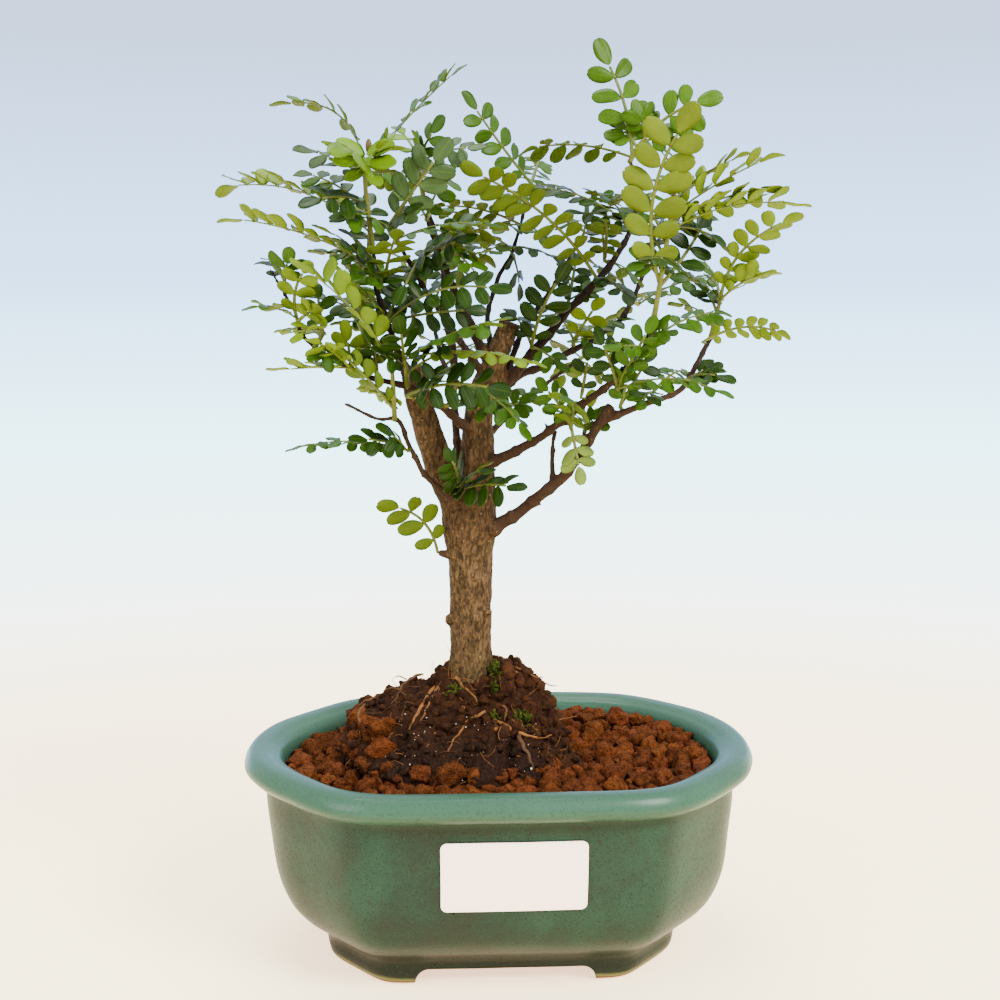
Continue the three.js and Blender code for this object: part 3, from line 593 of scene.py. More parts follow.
mound = {
    "levels": [(20, 26, 21, 0, 0), (42, 36.5, 29, 0, 0), (50, 33.5, 28.6, -8, 0),
               (54, 31, 28, -12.5, 0), (59, 28.8, 24.6, -12, 1), (63.5, 26.8, 20.6, -12.3, 2),
               (67.4, 22.4, 16.6, -9.6, 3), (72.6, 14.2, 11, -5.8, 5), (75.6, 10.4, 8.4, -5, 6),
               (76.4, 6, 5.4, -6, 6)],
    "rows": 12, "columns": 230, "bottom": (0, 0, 20), "top": (-6, 5, 76.4),
    "lumps": [(13, 0.9), (5.5, 0.55), (2.4, 0.34), (1.1, 0.17)],  # size and height of each
    "seenFrom": 53.5,  # the height above which loose pieces lie on it
    # how many of each, and radii with the share of each or the range they are drawn from
    "clods": 520, "clodRadii": [0.6, 0.8, 1.1, 1.5], "clodShares": [0.34, 0.32, 0.22, 0.12],
    "shoulderGrains": 80, "shoulderRadius": (0.9, 2.2),
    "specks": 80, "speckRadii": [0.08, 0.12, 0.17, 0.25], "speckShares": [0.4, 0.35, 0.17, 0.08],
    "fineRoots": 240, "rootLength": (2.2, 9), "rootRadius": (0.06, 0.17), "rootSteps": 9,
    "strandRadius": (0.16, 0.36), "strandStep": (0.25, 0.55), "strandSteps": 5,
    "darkRoot": paint(136, 102, 76), "orangeRoot": paint(206, 164, 118),
}

# roots that can be told apart: points along each, radius, and how orange it is from 0 to 1
namedRoots = [
    ([(-18, -8, 73.8), (-21, -13, 70.8), (-23, -17, 68.2), (-25, -20.5, 65.4)], 0.5, 0.6),
    ([(-17, -8, 74), (-19.5, -13, 70.5), (-22, -18, 66.8)], 0.34, 0.45),
    ([(-12.5, -5.4, 76), (-10, -10.5, 74), (-8, -13.5, 72.6), (-6.4, -16.5, 71)], 0.42, 0.5),
    ([(-12, -7, 72.5), (-11, -10, 70.6), (-10.6, -12.5, 68.4)], 0.32, 0.6),
    ([(-4.5, -19.5, 70), (-6, -21, 69.6), (-10, -23, 68), (-12.5, -26, 65), (-15, -29, 62)],
     0.4, 0.5),
    ([(-3, -19, 69.6), (-0.5, -18.5, 71), (0.6, -20, 70), (0.2, -22, 68)], 0.38, 0.25),
    ([(-2.6, -20, 67.6), (0, -22.5, 66.8), (2.5, -23.5, 65.5), (5.5, -24, 64.6), (8.3, -23.5, 64)],
     0.55, 0.8),
    ([(-2.4, -21, 65.4), (-0.5, -23, 65.2), (1.6, -24, 64.4)], 0.5, 0.7),
    ([(3.3, -23, 65.4), (4.6, -26, 62.6), (6.2, -29, 60), (6.8, -30, 57.4)], 0.55, 0.05),
    ([(-21, -4, 76.5), (-24, -4, 75.4), (-26.4, -6, 74), (-28, -8, 71.4), (-30, -10, 69.4)],
     0.34, 0.1),
    ([(-25.6, -5, 75), (-27.6, -5, 76.2), (-29.4, -6, 75.8)], 0.2, 0.1),
    ([(-27, -7, 72.6), (-29.6, -7, 73.4), (-31.4, -8, 73)], 0.18, 0.1),
    ([(-37, -8, 69.4), (-38.4, -12, 67), (-37, -15, 65), (-33, -18, 64.4), (-29, -19, 63.8)],
     0.28, 0.2),
    ([(-34, -8, 71), (-36.5, -10, 70.6), (-38.5, -11, 69.8)], 0.22, 0.2),
    ([(2.4, -2, 77.8), (5.6, -3.4, 77), (8.6, -4.4, 75.6), (11.4, -5.6, 75.6)], 0.36, 0.5),
    ([(4, -3, 76.6), (6.4, -5, 74.4), (8, -7, 73.4)], 0.3, 0.7),
    ([(12, -3, 73), (14, -4, 72.4), (15.6, -5, 72.6)], 0.2, 0.2),
    ([(-1, -30, 57.4), (2, -31, 57.2), (4.4, -32, 56.4)], 0.24, 0.4),
    ([(-14, -32, 56.6), (-12.4, -33, 57), (-10.8, -33, 56.4)], 0.2, 0.4),
]
mossPatches = [  # middle, spread and number of strands
    ((-1.6, -3.6, 76.5), (0.6, 0.6, 2.4), 70), ((-1.4, -5.5, 72.2), (0.8, 0.7, 1.5), 44),
    ((-12, -6.4, 72), (1.4, 0.6, 0.8), 24), ((4.0, -18.5, 67.6), (2.2, 1.0, 0.8), 110),
    ((-1.8, -20, 68.4), (1.8, 0.8, 0.5), 44),
]


def moundShape():
    levels = smoothLine(mound["levels"], mound["rows"])
    columns = mound["columns"]
    turns = fullTurn(columns)
    rings = []
    for z, halfX, halfY, x, y in levels:
        ring = [x + halfX * np.cos(turns), y + halfY * np.sin(turns), np.full(columns, z)]
        rings.append(np.stack(ring, 1))
    grid = np.array(rings)
    across = np.roll(grid, -1, 1) - np.roll(grid, 1, 1)
    upward = np.gradient(grid, axis=0)
    out = unit(np.cross(across, upward))
    swell = np.zeros(grid.shape[:2])
    for k, (size, height) in enumerate(mound["lumps"]):
        swell += height * lumps(grid.reshape(-1, 3), size, 40 + k, 12).reshape(swell.shape)
    free = np.clip((grid[:, :, 2] - 40) / 14, 0.05, 1)  # smooth where the grit hides it
    grid = grid + out * (swell * free)[:, :, None]
    return grid, out


def rootSoilMaterial():
    sheet = newSheet("rootSoil")
    point = sheet.place()
    x, y, z = (sheet.part(point, axis) for axis in "XYZ")
    tone = sheet.mark("tone", "Color")
    clumps = sheet.noise(point, 4.5, 4, 0.65)
    crumbs = sheet.noise(point, 1.3, 4, 0.7, 0.5)
    # darker, smoother patches low on the left front of the root ball
    lowFront = (1 - sheet.step(z, 57, 70)) * (1 - sheet.step(y, -22, -8))
    darkPatch = lowFront * (1 - sheet.step(x, 6, 16)) * sheet.step(clumps, 0.3, 0.56)
    colour = sheet.mix(sheet.step(clumps, 0.34, 0.68), paint(70, 34, 19), paint(112, 68, 42))
    colour = sheet.mix(1.0, colour, tone, "MULTIPLY")
    colour = sheet.mix(darkPatch * 0.75, colour, paint(44, 22, 15))
    colour = sheet.mix(sheet.step(crumbs, 0.55, 0.68) * 0.45, colour, paint(128, 86, 56))
    colour = sheet.mix((1 - sheet.step(crumbs, 0.32, 0.47)) * 0.75, colour, paint(34, 14, 8))
    fibres = sheet.noise(sheet.place((1.6, 1.6, 0.35)), 0.9, 2, 0.6, 1.4)
    colour = sheet.mix(sheet.step(fibres, 0.6, 0.68) * 0.45, colour, paint(158, 108, 68))
    relief = crumbs * 0.6 + sheet.noise(point, 0.45, 3, 0.7) * 0.4
    return sheet.finish({"Base Color": colour, "Roughness": 0.9 - darkPatch * 0.35,
                         "Specular IOR Level": 0.08, "Normal": sheet.bump(relief, 1.1, 1.0)})


def rootMaterial():
    sheet = newSheet("fineRoot")
    point = sheet.place()
    tone = sheet.mark("tone", "Color")
    stains = sheet.step(sheet.noise(point, 1.2, 3), 0.4, 0.65)
    colour = sheet.mix(stains * 0.45, tone, paint(84, 50, 30))
    return sheet.finish({"Base Color": colour, "Roughness": 0.7, "Specular IOR Level": 0.12,
                         "Normal": sheet.bump(sheet.noise(point, 0.5, 2), 0.12, 0.7)})


def mossMaterial():
    sheet = newSheet("moss")
    point = sheet.place()
    colour = sheet.ramp(sheet.noise(point, 0.9, 4, 0.7), [
        (0.3, paint(58, 66, 24)), (0.5, paint(96, 112, 40)), (0.7, paint(150, 158, 78))])
    return sheet.finish({"Base Color": colour, "Roughness": 0.85, "Specular IOR Level": 0.1,
                         "Normal": sheet.bump(sheet.noise(point, 0.3, 3), 0.4, 1.0)})


def speckMaterial():
    sheet = newSheet("paleSpeck")
    shade = sheet.mix(sheet.noise(sheet.place(), 2), paint(196, 192, 186), paint(236, 234, 228))
    return sheet.finish({"Base Color": shade, "Roughness": 0.6})


def moundPieces():
    draw = np.random.default_rng(21)
    grid, out = moundShape()
    rows, columns = grid.shape[:2]
    points = np.vstack([grid.reshape(-1, 3), [mound["bottom"]], [mound["top"]]])
    skinFaces = cappedFaces(rows, columns)
    soil = rootSoilMaterial()
    ones = np.ones((len(points), 3))
    settle(makePiece("RootBall", points, skinFaces, soil, {"tone": ones}), "root_soil", "root_ball")

    seen = np.argwhere(grid[:, :, 2] > mound["seenFrom"])
    places, ways = grid[seen[:, 0], seen[:, 1]], out[seen[:, 0], seen[:, 1]]
    # even over the surface, although the upper rings are closer together
    weight = np.linalg.norm(np.cross(np.gradient(grid, axis=0), np.gradient(grid, axis=1)), axis=2)
    weight = weight[seen[:, 0], seen[:, 1]]
    weight = weight / weight.sum()

    shapes, faces = grainShapes(14, 3, 300)
    small, smallFaces = grainShapes(10, 2, 360)
    heap = Heap()
    for k in draw.choice(len(places), mound["clods"], p=weight):
        radius = draw.choice(mound["clodRadii"], p=mound["clodShares"])
        shade = draw.uniform(0.7, 1.35)
        body = small[draw.integers(len(small))] @ randomTurn(draw) * radius * (1, 1, 0.85)
        heap.add(places[k] + ways[k] * radius * 0.25 + body, smallFaces,
                 tone=(shade, shade * draw.uniform(0.9, 1.02), shade * draw.uniform(0.85, 1.0)))
    # reddish grains on the right shoulder and the top left edge
    x, z = places[:, 0], places[:, 2]
    shoulder = weight * (((x > -1) & (z > 60)) | ((x < -34) & (z > 58)))
    shoulder = shoulder / shoulder.sum()
    for k in draw.choice(len(places), mound["shoulderGrains"], p=shoulder):
        radius = draw.uniform(*mound["shoulderRadius"])
        shade = draw.uniform(1.1, 1.9)
        body = shapes[draw.integers(len(shapes))] @ randomTurn(draw) * radius
        heap.add(places[k] + ways[k] * radius * 0.1 + body, faces,
                 tone=(shade, shade * 0.93, shade * 0.86))
    settle(heap.make("RootSoilClods", soil), "root_soil", "root_ball")

    skin = BVHTree.FromPolygons(points.tolist(), [list(face) for face in skinFaces])
    heap = Heap()
    palette = [np.array(mound["darkRoot"]), np.array(mound["orangeRoot"])]
    eye = np.array(view["place"])
    for route, radius, orange in namedRoots:
        line = smoothLine(route, 7)
        for k, place in enumerate(line):  # onto the soil, where the camera sees it
            ray = unit(place - eye)
            hit, normal, _, _ = skin.ray_cast(eye.tolist(), ray.tolist())
            if hit is not None and np.linalg.norm(np.array(hit) - place) < 9:
                line[k] = np.array(hit) + np.array(normal) * radius * 0.35
        line = line + 0.16 * np.stack([lumps(line, 3.2, 500 + axis) for axis in range(3)], 1)
        share = np.linspace(0, 1, len(line))
        taper = radius * np.interp(share, [0, 0.12, 0.6, 1], [0.85, 1, 0.8, 0.35])
        taper = taper * (1 + 0.14 * lumps(line, 2.4, 511))
        heap.add(*tube(line, taper, 8), tone=palette[0] * (1 - orange) + palette[1] * orange)
    for k in draw.choice(len(places), mound["fineRoots"], p=weight):
        start, way = places[k], ways[k]
        heading = unit(np.cross(way, draw.normal(size=3)))
        length, turn = draw.uniform(*mound["rootLength"]), draw.normal(size=3) * 0.35
        steps = mound["rootSteps"]
        line = [start + way * 0.1]
        for _ in range(steps):
            heading = unit(heading + turn * 0.5 + draw.normal(size=3) * 0.18 - way * 0.1)
            line.append(line[-1] + heading * length / steps)
        line = np.array(line) + way * (0.55 * np.sin(np.linspace(0, np.pi, steps + 1)))[:, None]
        line = smoothLine(line, 2)
        share = draw.uniform()
        thin = draw.uniform(*mound["rootRadius"])
        heap.add(*tube(line, np.linspace(thin, thin * 0.5, len(line)), 6),
                 tone=palette[0] * (1 - share) + palette[1] * share)
    settle(heap.make("FineRoots", rootMaterial()), "root_soil", "root_ball")

    heap = Heap()
    for middle, spread, count in mossPatches:
        ray = unit(np.array(middle) - eye)
        hit = skin.ray_cast(eye.tolist(), ray.tolist())[0]
        middle = np.array(middle if hit is None else hit)
        for _ in range(count):
            place = middle + draw.normal(size=3) * spread * 0.75
            heading = unit(draw.normal(size=3) + (0, -0.5, 0.4))
            bend = draw.normal(size=3) * 0.7
            line = [place]
            for _ in range(mound["strandSteps"]):
                heading = unit(heading + bend * 0.5)
                line.append(line[-1] + heading * draw.uniform(*mound["strandStep"]))
            thick = draw.uniform(*mound["strandRadius"])
            heap.add(*tube(np.array(line), thick * np.array([0.7, 1, 1.2, 1.1, 0.9, 0.4]), 5))
    settle(heap.make("Moss", mossMaterial()), "root_soil", "root_ball")

    heap = Heap()
    low = weight * (places[:, 2] < 68) * (places[:, 1] < -8) * (places[:, 0] < 12)
    low = low / low.sum()
    for k in draw.choice(len(places), mound["specks"], p=low):
        radius = draw.choice(mound["speckRadii"], p=mound["speckShares"])
        body = small[draw.integers(len(small))] @ randomTurn(draw) * radius
        heap.add(places[k] + ways[k] * 0.35 + body, smallFaces)
    settle(heap.make("PaleSpecks", speckMaterial()), "root_soil", "root_ball")


moundPieces()
print("root ball made")


# The soil: a bed painted dark as the shade between the grains, and the coarse grains on it

soil = {
    # half-length of the bed's side and height
    "wall": [(44, 10.3), (48.7, 14.5), (52.2, 19), (56.3, 30), (58.9, 49.5)],
    "columns": 150, "bottom": 10.3, "level": 50.2, "bedShade": 0.3,
    # how far out the grains may reach, and at which height that is
    "edge": 59.9, "edgeHeight": 50,
    # smallest and largest radius, how many, and how high they lie
    "grains": [(2.9, 3.9, 44, 2.2), (2.2, 2.9, 150, 1.7), (1.6, 2.2, 230, 1.2),
               (0.8, 1.6, 560, 1.3)],
    "tries": 9000, "bigFrom": 1.6,
}
moundTop = smoothLine(mound["levels"][3:], 8)


# how high the root ball stands at each place, from its rings; 0 where there is none
def moundHeight(x, y):
    level, halfX, halfY, middleX, middleY = moundTop.T
    inside = ((x - middleX) / halfX) ** 2 + ((y - middleY) / halfY) ** 2 < 1
    return level[inside][-1] if inside.any() else 0


def bedHeight(points):
    return (soil["level"] + 0.8 * lumps(points, 24, 71) + 0.4 * lumps(points, 6, 72)
            + 1.6 * np.exp(-((points[:, 0] - 34) ** 2 + (points[:, 1] - 26) ** 2) / 700))


def gritMaterial():
    sheet = newSheet("grit")
    point = sheet.place()
    tone = sheet.mark("tone", "Color")
    patches = sheet.noise(point, 1.7, 4, 0.6)
    pores = sheet.noise(point, 0.55, 3, 0.75)
    colour = sheet.mix(sheet.step(patches, 0.32, 0.7), paint(124, 64, 34), paint(172, 108, 72))
    colour = sheet.mix(1.0, colour, tone, "MULTIPLY")
    # painted light: the grains are paler where they face up, as if lit from above
    upFacingLight = sheet.step(sheet.part(sheet.add("ShaderNodeNewGeometry", out="Normal"), "Z"), 0.2, 0.95)
    colour = sheet.mix(upFacingLight * 0.2, colour, paint(182, 124, 88))
    # dark pores and pits: partly the grains' own, partly painted shade in their hollows
    colour = sheet.mix((1 - sheet.step(pores, 0.3, 0.44)) * 0.75, colour, paint(42, 16, 6))
    pits = sheet.step(sheet.cells(point, 0.8), 0.15, 0.5)
    colour = sheet.mix((1 - pits) * 0.4, colour, paint(60, 26, 12))
    relief = pores * 0.6 + sheet.noise(point, 0.28, 2, 0.6) * 0.3 + pits * 0.4
    return sheet.finish({"Base Color": colour, "Roughness": 0.93, "Specular IOR Level": 0.05,
                         "Normal": sheet.bump(relief, 0.9, 1.0)})


def soilPieces():
    draw = np.random.default_rng(8)
    material = gritMaterial()
    columns = soil["columns"]
    rings = [planRing(halfLength, z, columns) for halfLength, z in smoothLine(soil["wall"], 3)]
    edge = planRing(soil["wall"][-1][0], 0, columns)
    for share in np.linspace(0.985, 0.02, 46):
        ring = edge * share
        ring[:, 2] = bedHeight(ring)
        rings.append(ring)
    centre = np.array([(0, 0, 0)])
    points = np.vstack(rings + [[(0, 0, soil["bottom"])], [(0, 0, bedHeight(centre)[0])]])
    # painted shade: the bed is darkened where it shows between the grains
    dark = {"tone": np.full((len(points), 3), soil["bedShade"])}
    bed = makePiece("SoilBed", points, cappedFaces(len(rings), columns), material, dark)
    settle(bed, "grit", "soil")

    big, bigFaces = grainShapes(24, 3, 600)
    small, smallFaces = grainShapes(16, 2, 700)
    heaps = [Heap(), Heap()]
    placed = np.zeros((0, 4))
    for smallest, largest, count, lift in soil["grains"]:
        found = tries = 0
        while found < count and tries < soil["tries"]:
            tries += 1
            radius = draw.uniform(smallest, largest)
            angle, share = draw.uniform(0, 2 * np.pi), math.sqrt(draw.uniform())
            reach = planReach(angle, soil["edge"], soil["edgeHeight"])
            if reach * (1 - share) < radius * 0.9 + 0.3:
                continue
            x, y = reach * share * math.cos(angle), reach * share * math.sin(angle)
            stand = moundHeight(x, y)
            base = bedHeight(np.array([(x, y, 0)]))[0]
            left = x < -30 and y > -18  # grains lie high on the left side of the root ball
            if stand > base + (14 if left else 4.5):
                continue
            z = max(base, stand - (0.4 if left else 1.5)) + lift * draw.uniform(0.2, 1.0)
            if len(placed):
                apart = np.linalg.norm(placed[:, :3] - (x, y, z), axis=1)
                if (apart - 0.8 * (placed[:, 3] + radius)).min() < 0:
                    continue
            placed = np.vstack([placed, (x, y, z, radius)])
            found += 1
            shade = draw.uniform(0.62, 1.3)
            tone = (shade, shade * draw.uniform(0.88, 1.08), shade * draw.uniform(0.8, 1.15))
            shapes, faces = (big, bigFaces) if radius > soil["bigFrom"] else (small, smallFaces)
            body = shapes[draw.integers(len(shapes))] @ randomTurn(draw) * radius * (1, 1, 0.9)
            heaps[found % 2].add(np.array((x, y, z)) + body, faces, tone=tone)
    for name, heap in zip(("SoilGrainsA", "SoilGrainsB"), heaps):
        settle(heap.make(name, material), "grit", "soil")
    return len(placed)


print("soil made,", soilPieces(), "grains")


# The wood: each bough as points with a radius, from its root to its tip

boughs = {
    "trunk": [(-8.5, 3, 50, 10), (-8.5, 3, 62, 8.6), (-8.5, 3, 70, 7.2), (-8, 2, 81.5, 6.6),
              (-8, 2, 95.5, 6.5), (-8, 2, 109.5, 6.9), (-8, 2, 119, 7.4), (-6.5, 2, 127, 6),
              (-6, 2, 134, 4.9), (-5.5, 1, 149, 4.7), (-2.5, 0, 157.5, 4.6), (2.5, -2, 171.5, 3.9)],
    "leftStem": [(-9.5, 2, 116, 5), (-12.5, 0, 124.5, 4.6), (-15, -1, 129.5, 4.2),
                 (-18, -3, 138, 3.9), (-21, -5, 148, 3.6), (-24, -7, 159.5, 3.1)],
    "darkStem": [(-9, 4, 124, 2.8), (-11, 9, 135, 2), (-12, 12, 149.5, 1.8), (-12.5, 13, 163, 1.8),
                 (-14.5, 12, 177.5, 1.6), (-15.5, 12, 189.5, 1.4), (-20.2, 10, 205.6, 0.9)],
    "midBough": [(-3, 1, 160, 2.4), (-8.5, -2, 172, 2.1), (-13, -6, 181.5, 1.7),
                 (-19.3, -11.8, 197, 1)],
    "headBough": [(-5, -1, 158, 1.8), (-13.5, -8, 170.5, 1.6), (-19, -14, 178, 1.3),
                  (-26.2, -22.8, 190, 0.9)],
    "leftBough": [(-22.5, -6, 155, 2), (-28, -14, 165.5, 1.6), (-31.5, -22, 177, 1.3),
                  (-32.8, -27.8, 190.4, 0.9)],
    "backTop": [(-2, 3, 163, 1.6), (-3, 10, 173.5, 1.3), (0.5, 14, 183.5, 1.2), (4.5, 16, 192, 1),
                (8.9, 18, 206.5, 0.8)],
    "rightBough": [(-3, 2, 150, 2.8), (8.5, -2, 163, 2.3), (17, -6, 173.5, 1.9),
                   (23.5, -9, 180.5, 1.7),
                   (29.5, -10, 188, 1.5), (33.5, -8, 194.5, 1.3), (36.8, -5, 206, 1),
                   (34, -5, 213.1, 0.9)],
    "rightBack": [(-4, 3, 148, 2.4), (5, 8, 156.5, 2), (13.5, 12, 160, 1.8), (31.5, 19, 169.5, 1.4),
                  (38, 21, 176.5, 1.3), (45, 22, 193.5, 0.9)],
    "lowBack": [(-4, 4, 140, 1.7), (7, 16, 149, 1.3), (24, 31, 160.5, 0.9)],
    "longRight": [(-4, 0, 133, 2.9), (8, -7, 139.5, 2), (16.5, -13, 146.5, 1.8),
                  (27, -21, 155.5, 1.6), (34, -28, 163.5, 1.3), (36.4, -32.8, 173, 1.1)],
    "lowRight": [(-5, 1, 114, 3.4), (4.5, -5, 120.5, 2.4), (13.5, -11, 128.5, 2.2),
                 (18.5, -13, 134, 2.1), (28, -16, 150, 1.7)],
    "outRight": [(25.5, -15, 145.5, 1.5), (36, -18, 150, 1.1), (46.5, -16, 154.5, 1),
                 (55.4, -8.1, 167.1, 0.9)],
    "deadTwig": [(13.5, -10.5, 127, 1.2), (13.5, -8, 137.5, 0.8), (14.5, -8, 143, 0.7)],
    "outLeft": [(-9, -2, 143, 2.2), (-16.5, -9, 150, 1.7), (-21.5, -13, 153.5, 1.5),
                (-38.5, -17, 159, 1.2), (-50, -18, 166.5, 1), (-53, -18, 174, 0.8),
                (-59, -18, 184.5, 0.7)],
    "lowLeft": [(-10, -2, 122, 2), (-19.5, -11, 130.5, 1.4), (-25, -15, 141, 1.1),
                (-27.5, -15, 146, 1.1), (-32.5, -15, 146.5, 0.9), (-41, -15, 150.5, 0.7)],
    "stub": [(-8, 0, 108, 1.8), (-13.7, -1, 108.5, 1.5), (-16.7, -1, 109.3, 1.1)],
    "rearLeft": [(-6, 3, 142, 2.2), (-9, 12, 152, 1.7), (-15, 25, 161, 1.4),
                 (-19.8, 40.6, 181.6, 0.9)],
    "rearRight": [(0, 2, 154, 1.8), (7, 10, 169, 1.4), (14, 16, 179, 1.2), (23.8, 14, 195.6, 0.8)],
}
bark = {
    "voxel": 0.45, "foot": 48.0,  # the trunk starts at this height, inside the root ball
    # how slim each bough is beside the radii above, and the trunk by its height
    "waist": [(78, 0.95), (84, 0.88), (108, 0.88), (115, 0.96), (135, 0.93), (148, 0.86),
              (158, 0.76)],
    "slim": 0.6, "stout": {"lowRight": 0.68, "outRight": 0.8, "deadTwig": 0.8, "stub": 0.8},
    "thick": ("trunk", "leftStem"), "wander": 0.35, "thickWander": 0.25,
    "knotGap": 5.5, "knotSwell": 0.24, "spurShare": 0.55,
    "fissure": 0.26, "ripple": 0.12,
    # the old pruning knot in the fork, and lumps where twigs were cut from the trunk
    "scars": [((-7.5, -5.2, 123.5), 2.4), ((-13.4, 0.5, 90.5), 1.7), ((-1.6, -2.2, 116), 2.4),
              ((-15.4, -1, 128), 1.6), ((-2.2, -1, 134.6), 1.8), ((-7, -3.6, 103), 1.3),
              ((-3.2, -2.6, 93), 1.1), ((-12.6, -1.4, 97), 1.2)],
    "hollow": (-7.4, -7.0, 123.8), "hollowRadius": 1.7, "hollowDepth": 1.5,
}


def woodLines():
    lines = {}
    for name, route in boughs.items():
        line = smoothLine(route, 14 if name in bark["thick"] else 9)
        wander = bark["thickWander"] if name in bark["thick"] else bark["wander"]
        ends = np.sin(np.linspace(0, np.pi, len(line)))
        shift = np.stack([lumps(line[:, :3], 11, 800 + axis) for axis in range(3)], 1)
        line[:, :3] += shift * (wander * ends * 0.6)[:, None]
        if name not in bark["thick"]:
            line[:, 3] *= bark["stout"].get(name, bark["slim"])
        elif name == "trunk":
            line[:, 3] *= np.interp(line[:, 2], *zip(*bark["waist"]))
        lines[name] = line
    return lines


lines = woodLines()
allCentres = np.vstack(list(lines.values()))


# the index of the bough point nearest to each point
def nearestWood(points):
    tree = kdtree.KDTree(len(allCentres))
    for index, centre in enumerate(allCentres):
        tree.insert(centre[:3], index)
    tree.balance()
    return np.array([tree.find(point)[1] for point in points])


# swollen knots and small dark spurs along a thin bough
def knottedTube(line, draw, heap):
    path = np.concatenate([[0], np.cumsum(np.linalg.norm(np.diff(line[:, :3], axis=0), axis=1))])
    fine = np.linspace(0, path[-1], max(int(path[-1] / 0.5), 8))
    rows = np.stack([np.interp(fine, path, line[:, axis]) for axis in range(4)], 1)
    swell = np.ones(len(fine))
    place = draw.uniform(2, 5)
    along, first, second = lineFrames(rows[:, :3])
    while place < path[-1] - 1:
        swell += bark["knotSwell"] * np.exp(-((fine - place) / 0.8) ** 2)
        if draw.uniform() < bark["spurShare"]:
            k = int(np.argmin(abs(fine - place)))
            turn = draw.uniform(0, 2 * np.pi)
            way = first[k] * math.cos(turn) + second[k] * math.sin(turn) + along[k] * 0.4
            radius = rows[k, 3]
            start = rows[k, :3] + way * radius * 0.4
            end = start + way * (radius * 1.1 + draw.uniform(0.3, 0.9))
            spur = np.array([start, start + way * radius * 0.9, end])
            heap.add(*tube(spur, np.array([0.62, 0.52, 0.3]) * min(radius, 1.3) * 0.8, 7))
        place += draw.uniform(0.6, 1.5) * bark["knotGap"]
    heap.add(*tube(rows[:, :3], rows[:, 3] * swell, 14))


def barkMaterial():
    sheet = newSheet("bark")
    point = sheet.place()
    height = sheet.part(point, "Z")
    age = sheet.mark("age")
    groove = sheet.mark("groove")
    cutFace = sheet.mark("cut")
    streaks = sheet.noise(sheet.place((1, 1, 0.42)), 0.8, 5, 0.7, 0.6)
    patches = sheet.noise(sheet.place((1, 1, 0.7)), 3.4, 4, 0.65, 0.4)
    fine = sheet.noise(sheet.place((1, 1, 0.6)), 0.4, 3, 0.75)
    plates = sheet.cells(sheet.place((1, 1, 0.4)), 0.75)
    cracks = sheet.step(plates + (fine - 0.5) * 0.5, 0.5, 0.74)
    old = sheet.mix(sheet.step(streaks, 0.38, 0.62), paint(116, 88, 58), paint(170, 142, 108))
    old = sheet.mix(sheet.step(patches, 0.46, 0.62) * 0.5, old, paint(178, 152, 124))
    old = sheet.mix((1 - sheet.step(patches, 0.36, 0.48)) * 0.35, old, paint(116, 90, 60))
    # the upper trunk a little darker: partly its own darker bark, partly painted shade under the
    # crown
    upper = sheet.step(height, 122, 146)
    old = sheet.mix(upper * 0.15, old, paint(100, 74, 44))
    moss = (1 - sheet.step(height, 74, 92)) * sheet.step(streaks, 0.38, 0.6)
    old = sheet.mix(moss * 0.5, old, paint(128, 114, 62))
    fork = sheet.step(height, 108, 118) * (1 - sheet.step(height, 127, 142))
    russet = fork * sheet.step(patches, 0.36, 0.52)
    old = sheet.mix(russet * 0.5, old, paint(106, 68, 42))
    old = sheet.mix(cracks * 0.55, old, paint(66, 46, 28))
    young = sheet.mix(sheet.step(streaks, 0.4, 0.62), paint(46, 32, 24), paint(80, 60, 48))
    lower = 1 - sheet.step(height, 148, 172)
    brown = sheet.mix(streaks, paint(92, 64, 47), paint(136, 102, 80))
    young = sheet.mix(lower * 0.85, young, brown)
    colour = sheet.mix(age, young, old)
    colour = sheet.mix(groove * 0.6, colour, paint(54, 38, 22))
    dots = sheet.cells(sheet.place((1, 1, 0.7)), 1.5)
    pale = (1 - sheet.step(dots + (fine - 0.5) * 0.25, 0.12, 0.24)) * sheet.step(patches, 0.4, 0.55)
    colour = sheet.mix(pale * (0.3 + age * 0.4), colour, paint(186, 164, 132))
    rings = sheet.noise(point, 0.8, 2)
    colour = sheet.mix(cutFace, colour, sheet.mix(rings, paint(86, 62, 36), paint(124, 98, 66)))
    relief = streaks * 0.45 + fine * 0.3 + pale * 0.3 - cracks * age * 0.5
    return sheet.finish({"Base Color": colour, "Roughness": 0.78 - pale * 0.1,
                         "Specular IOR Level": 0.1, "Normal": sheet.bump(relief, 0.45, 0.85)})


# how old the bark looks at each point, from 0 on twigs to 1 on the trunk, blended over joints
def barkAge(points):
    total = np.zeros(len(points))
    weights = np.zeros(len(points))
    for line in lines.values():
        old = np.clip((line[:, 3] - 1.9) / 1.3, 0, 1)
        for start in range(0, len(points), 20000):  # in parts, to save memory
            part = slice(start, start + 20000)
            away = np.linalg.norm(points[part][:, None] - line[None, :, :3], axis=2)
            away = away - line[None, :, 3]
            near = away.argmin(1)
            away = np.clip(away[np.arange(len(near)), near], -0.6, 20)
            weight = np.exp(-away / 0.35) * (line[near, 3] ** 2)
            total[part] += weight * old[near]
            weights[part] += weight
    return total / np.maximum(weights, 1e-12)


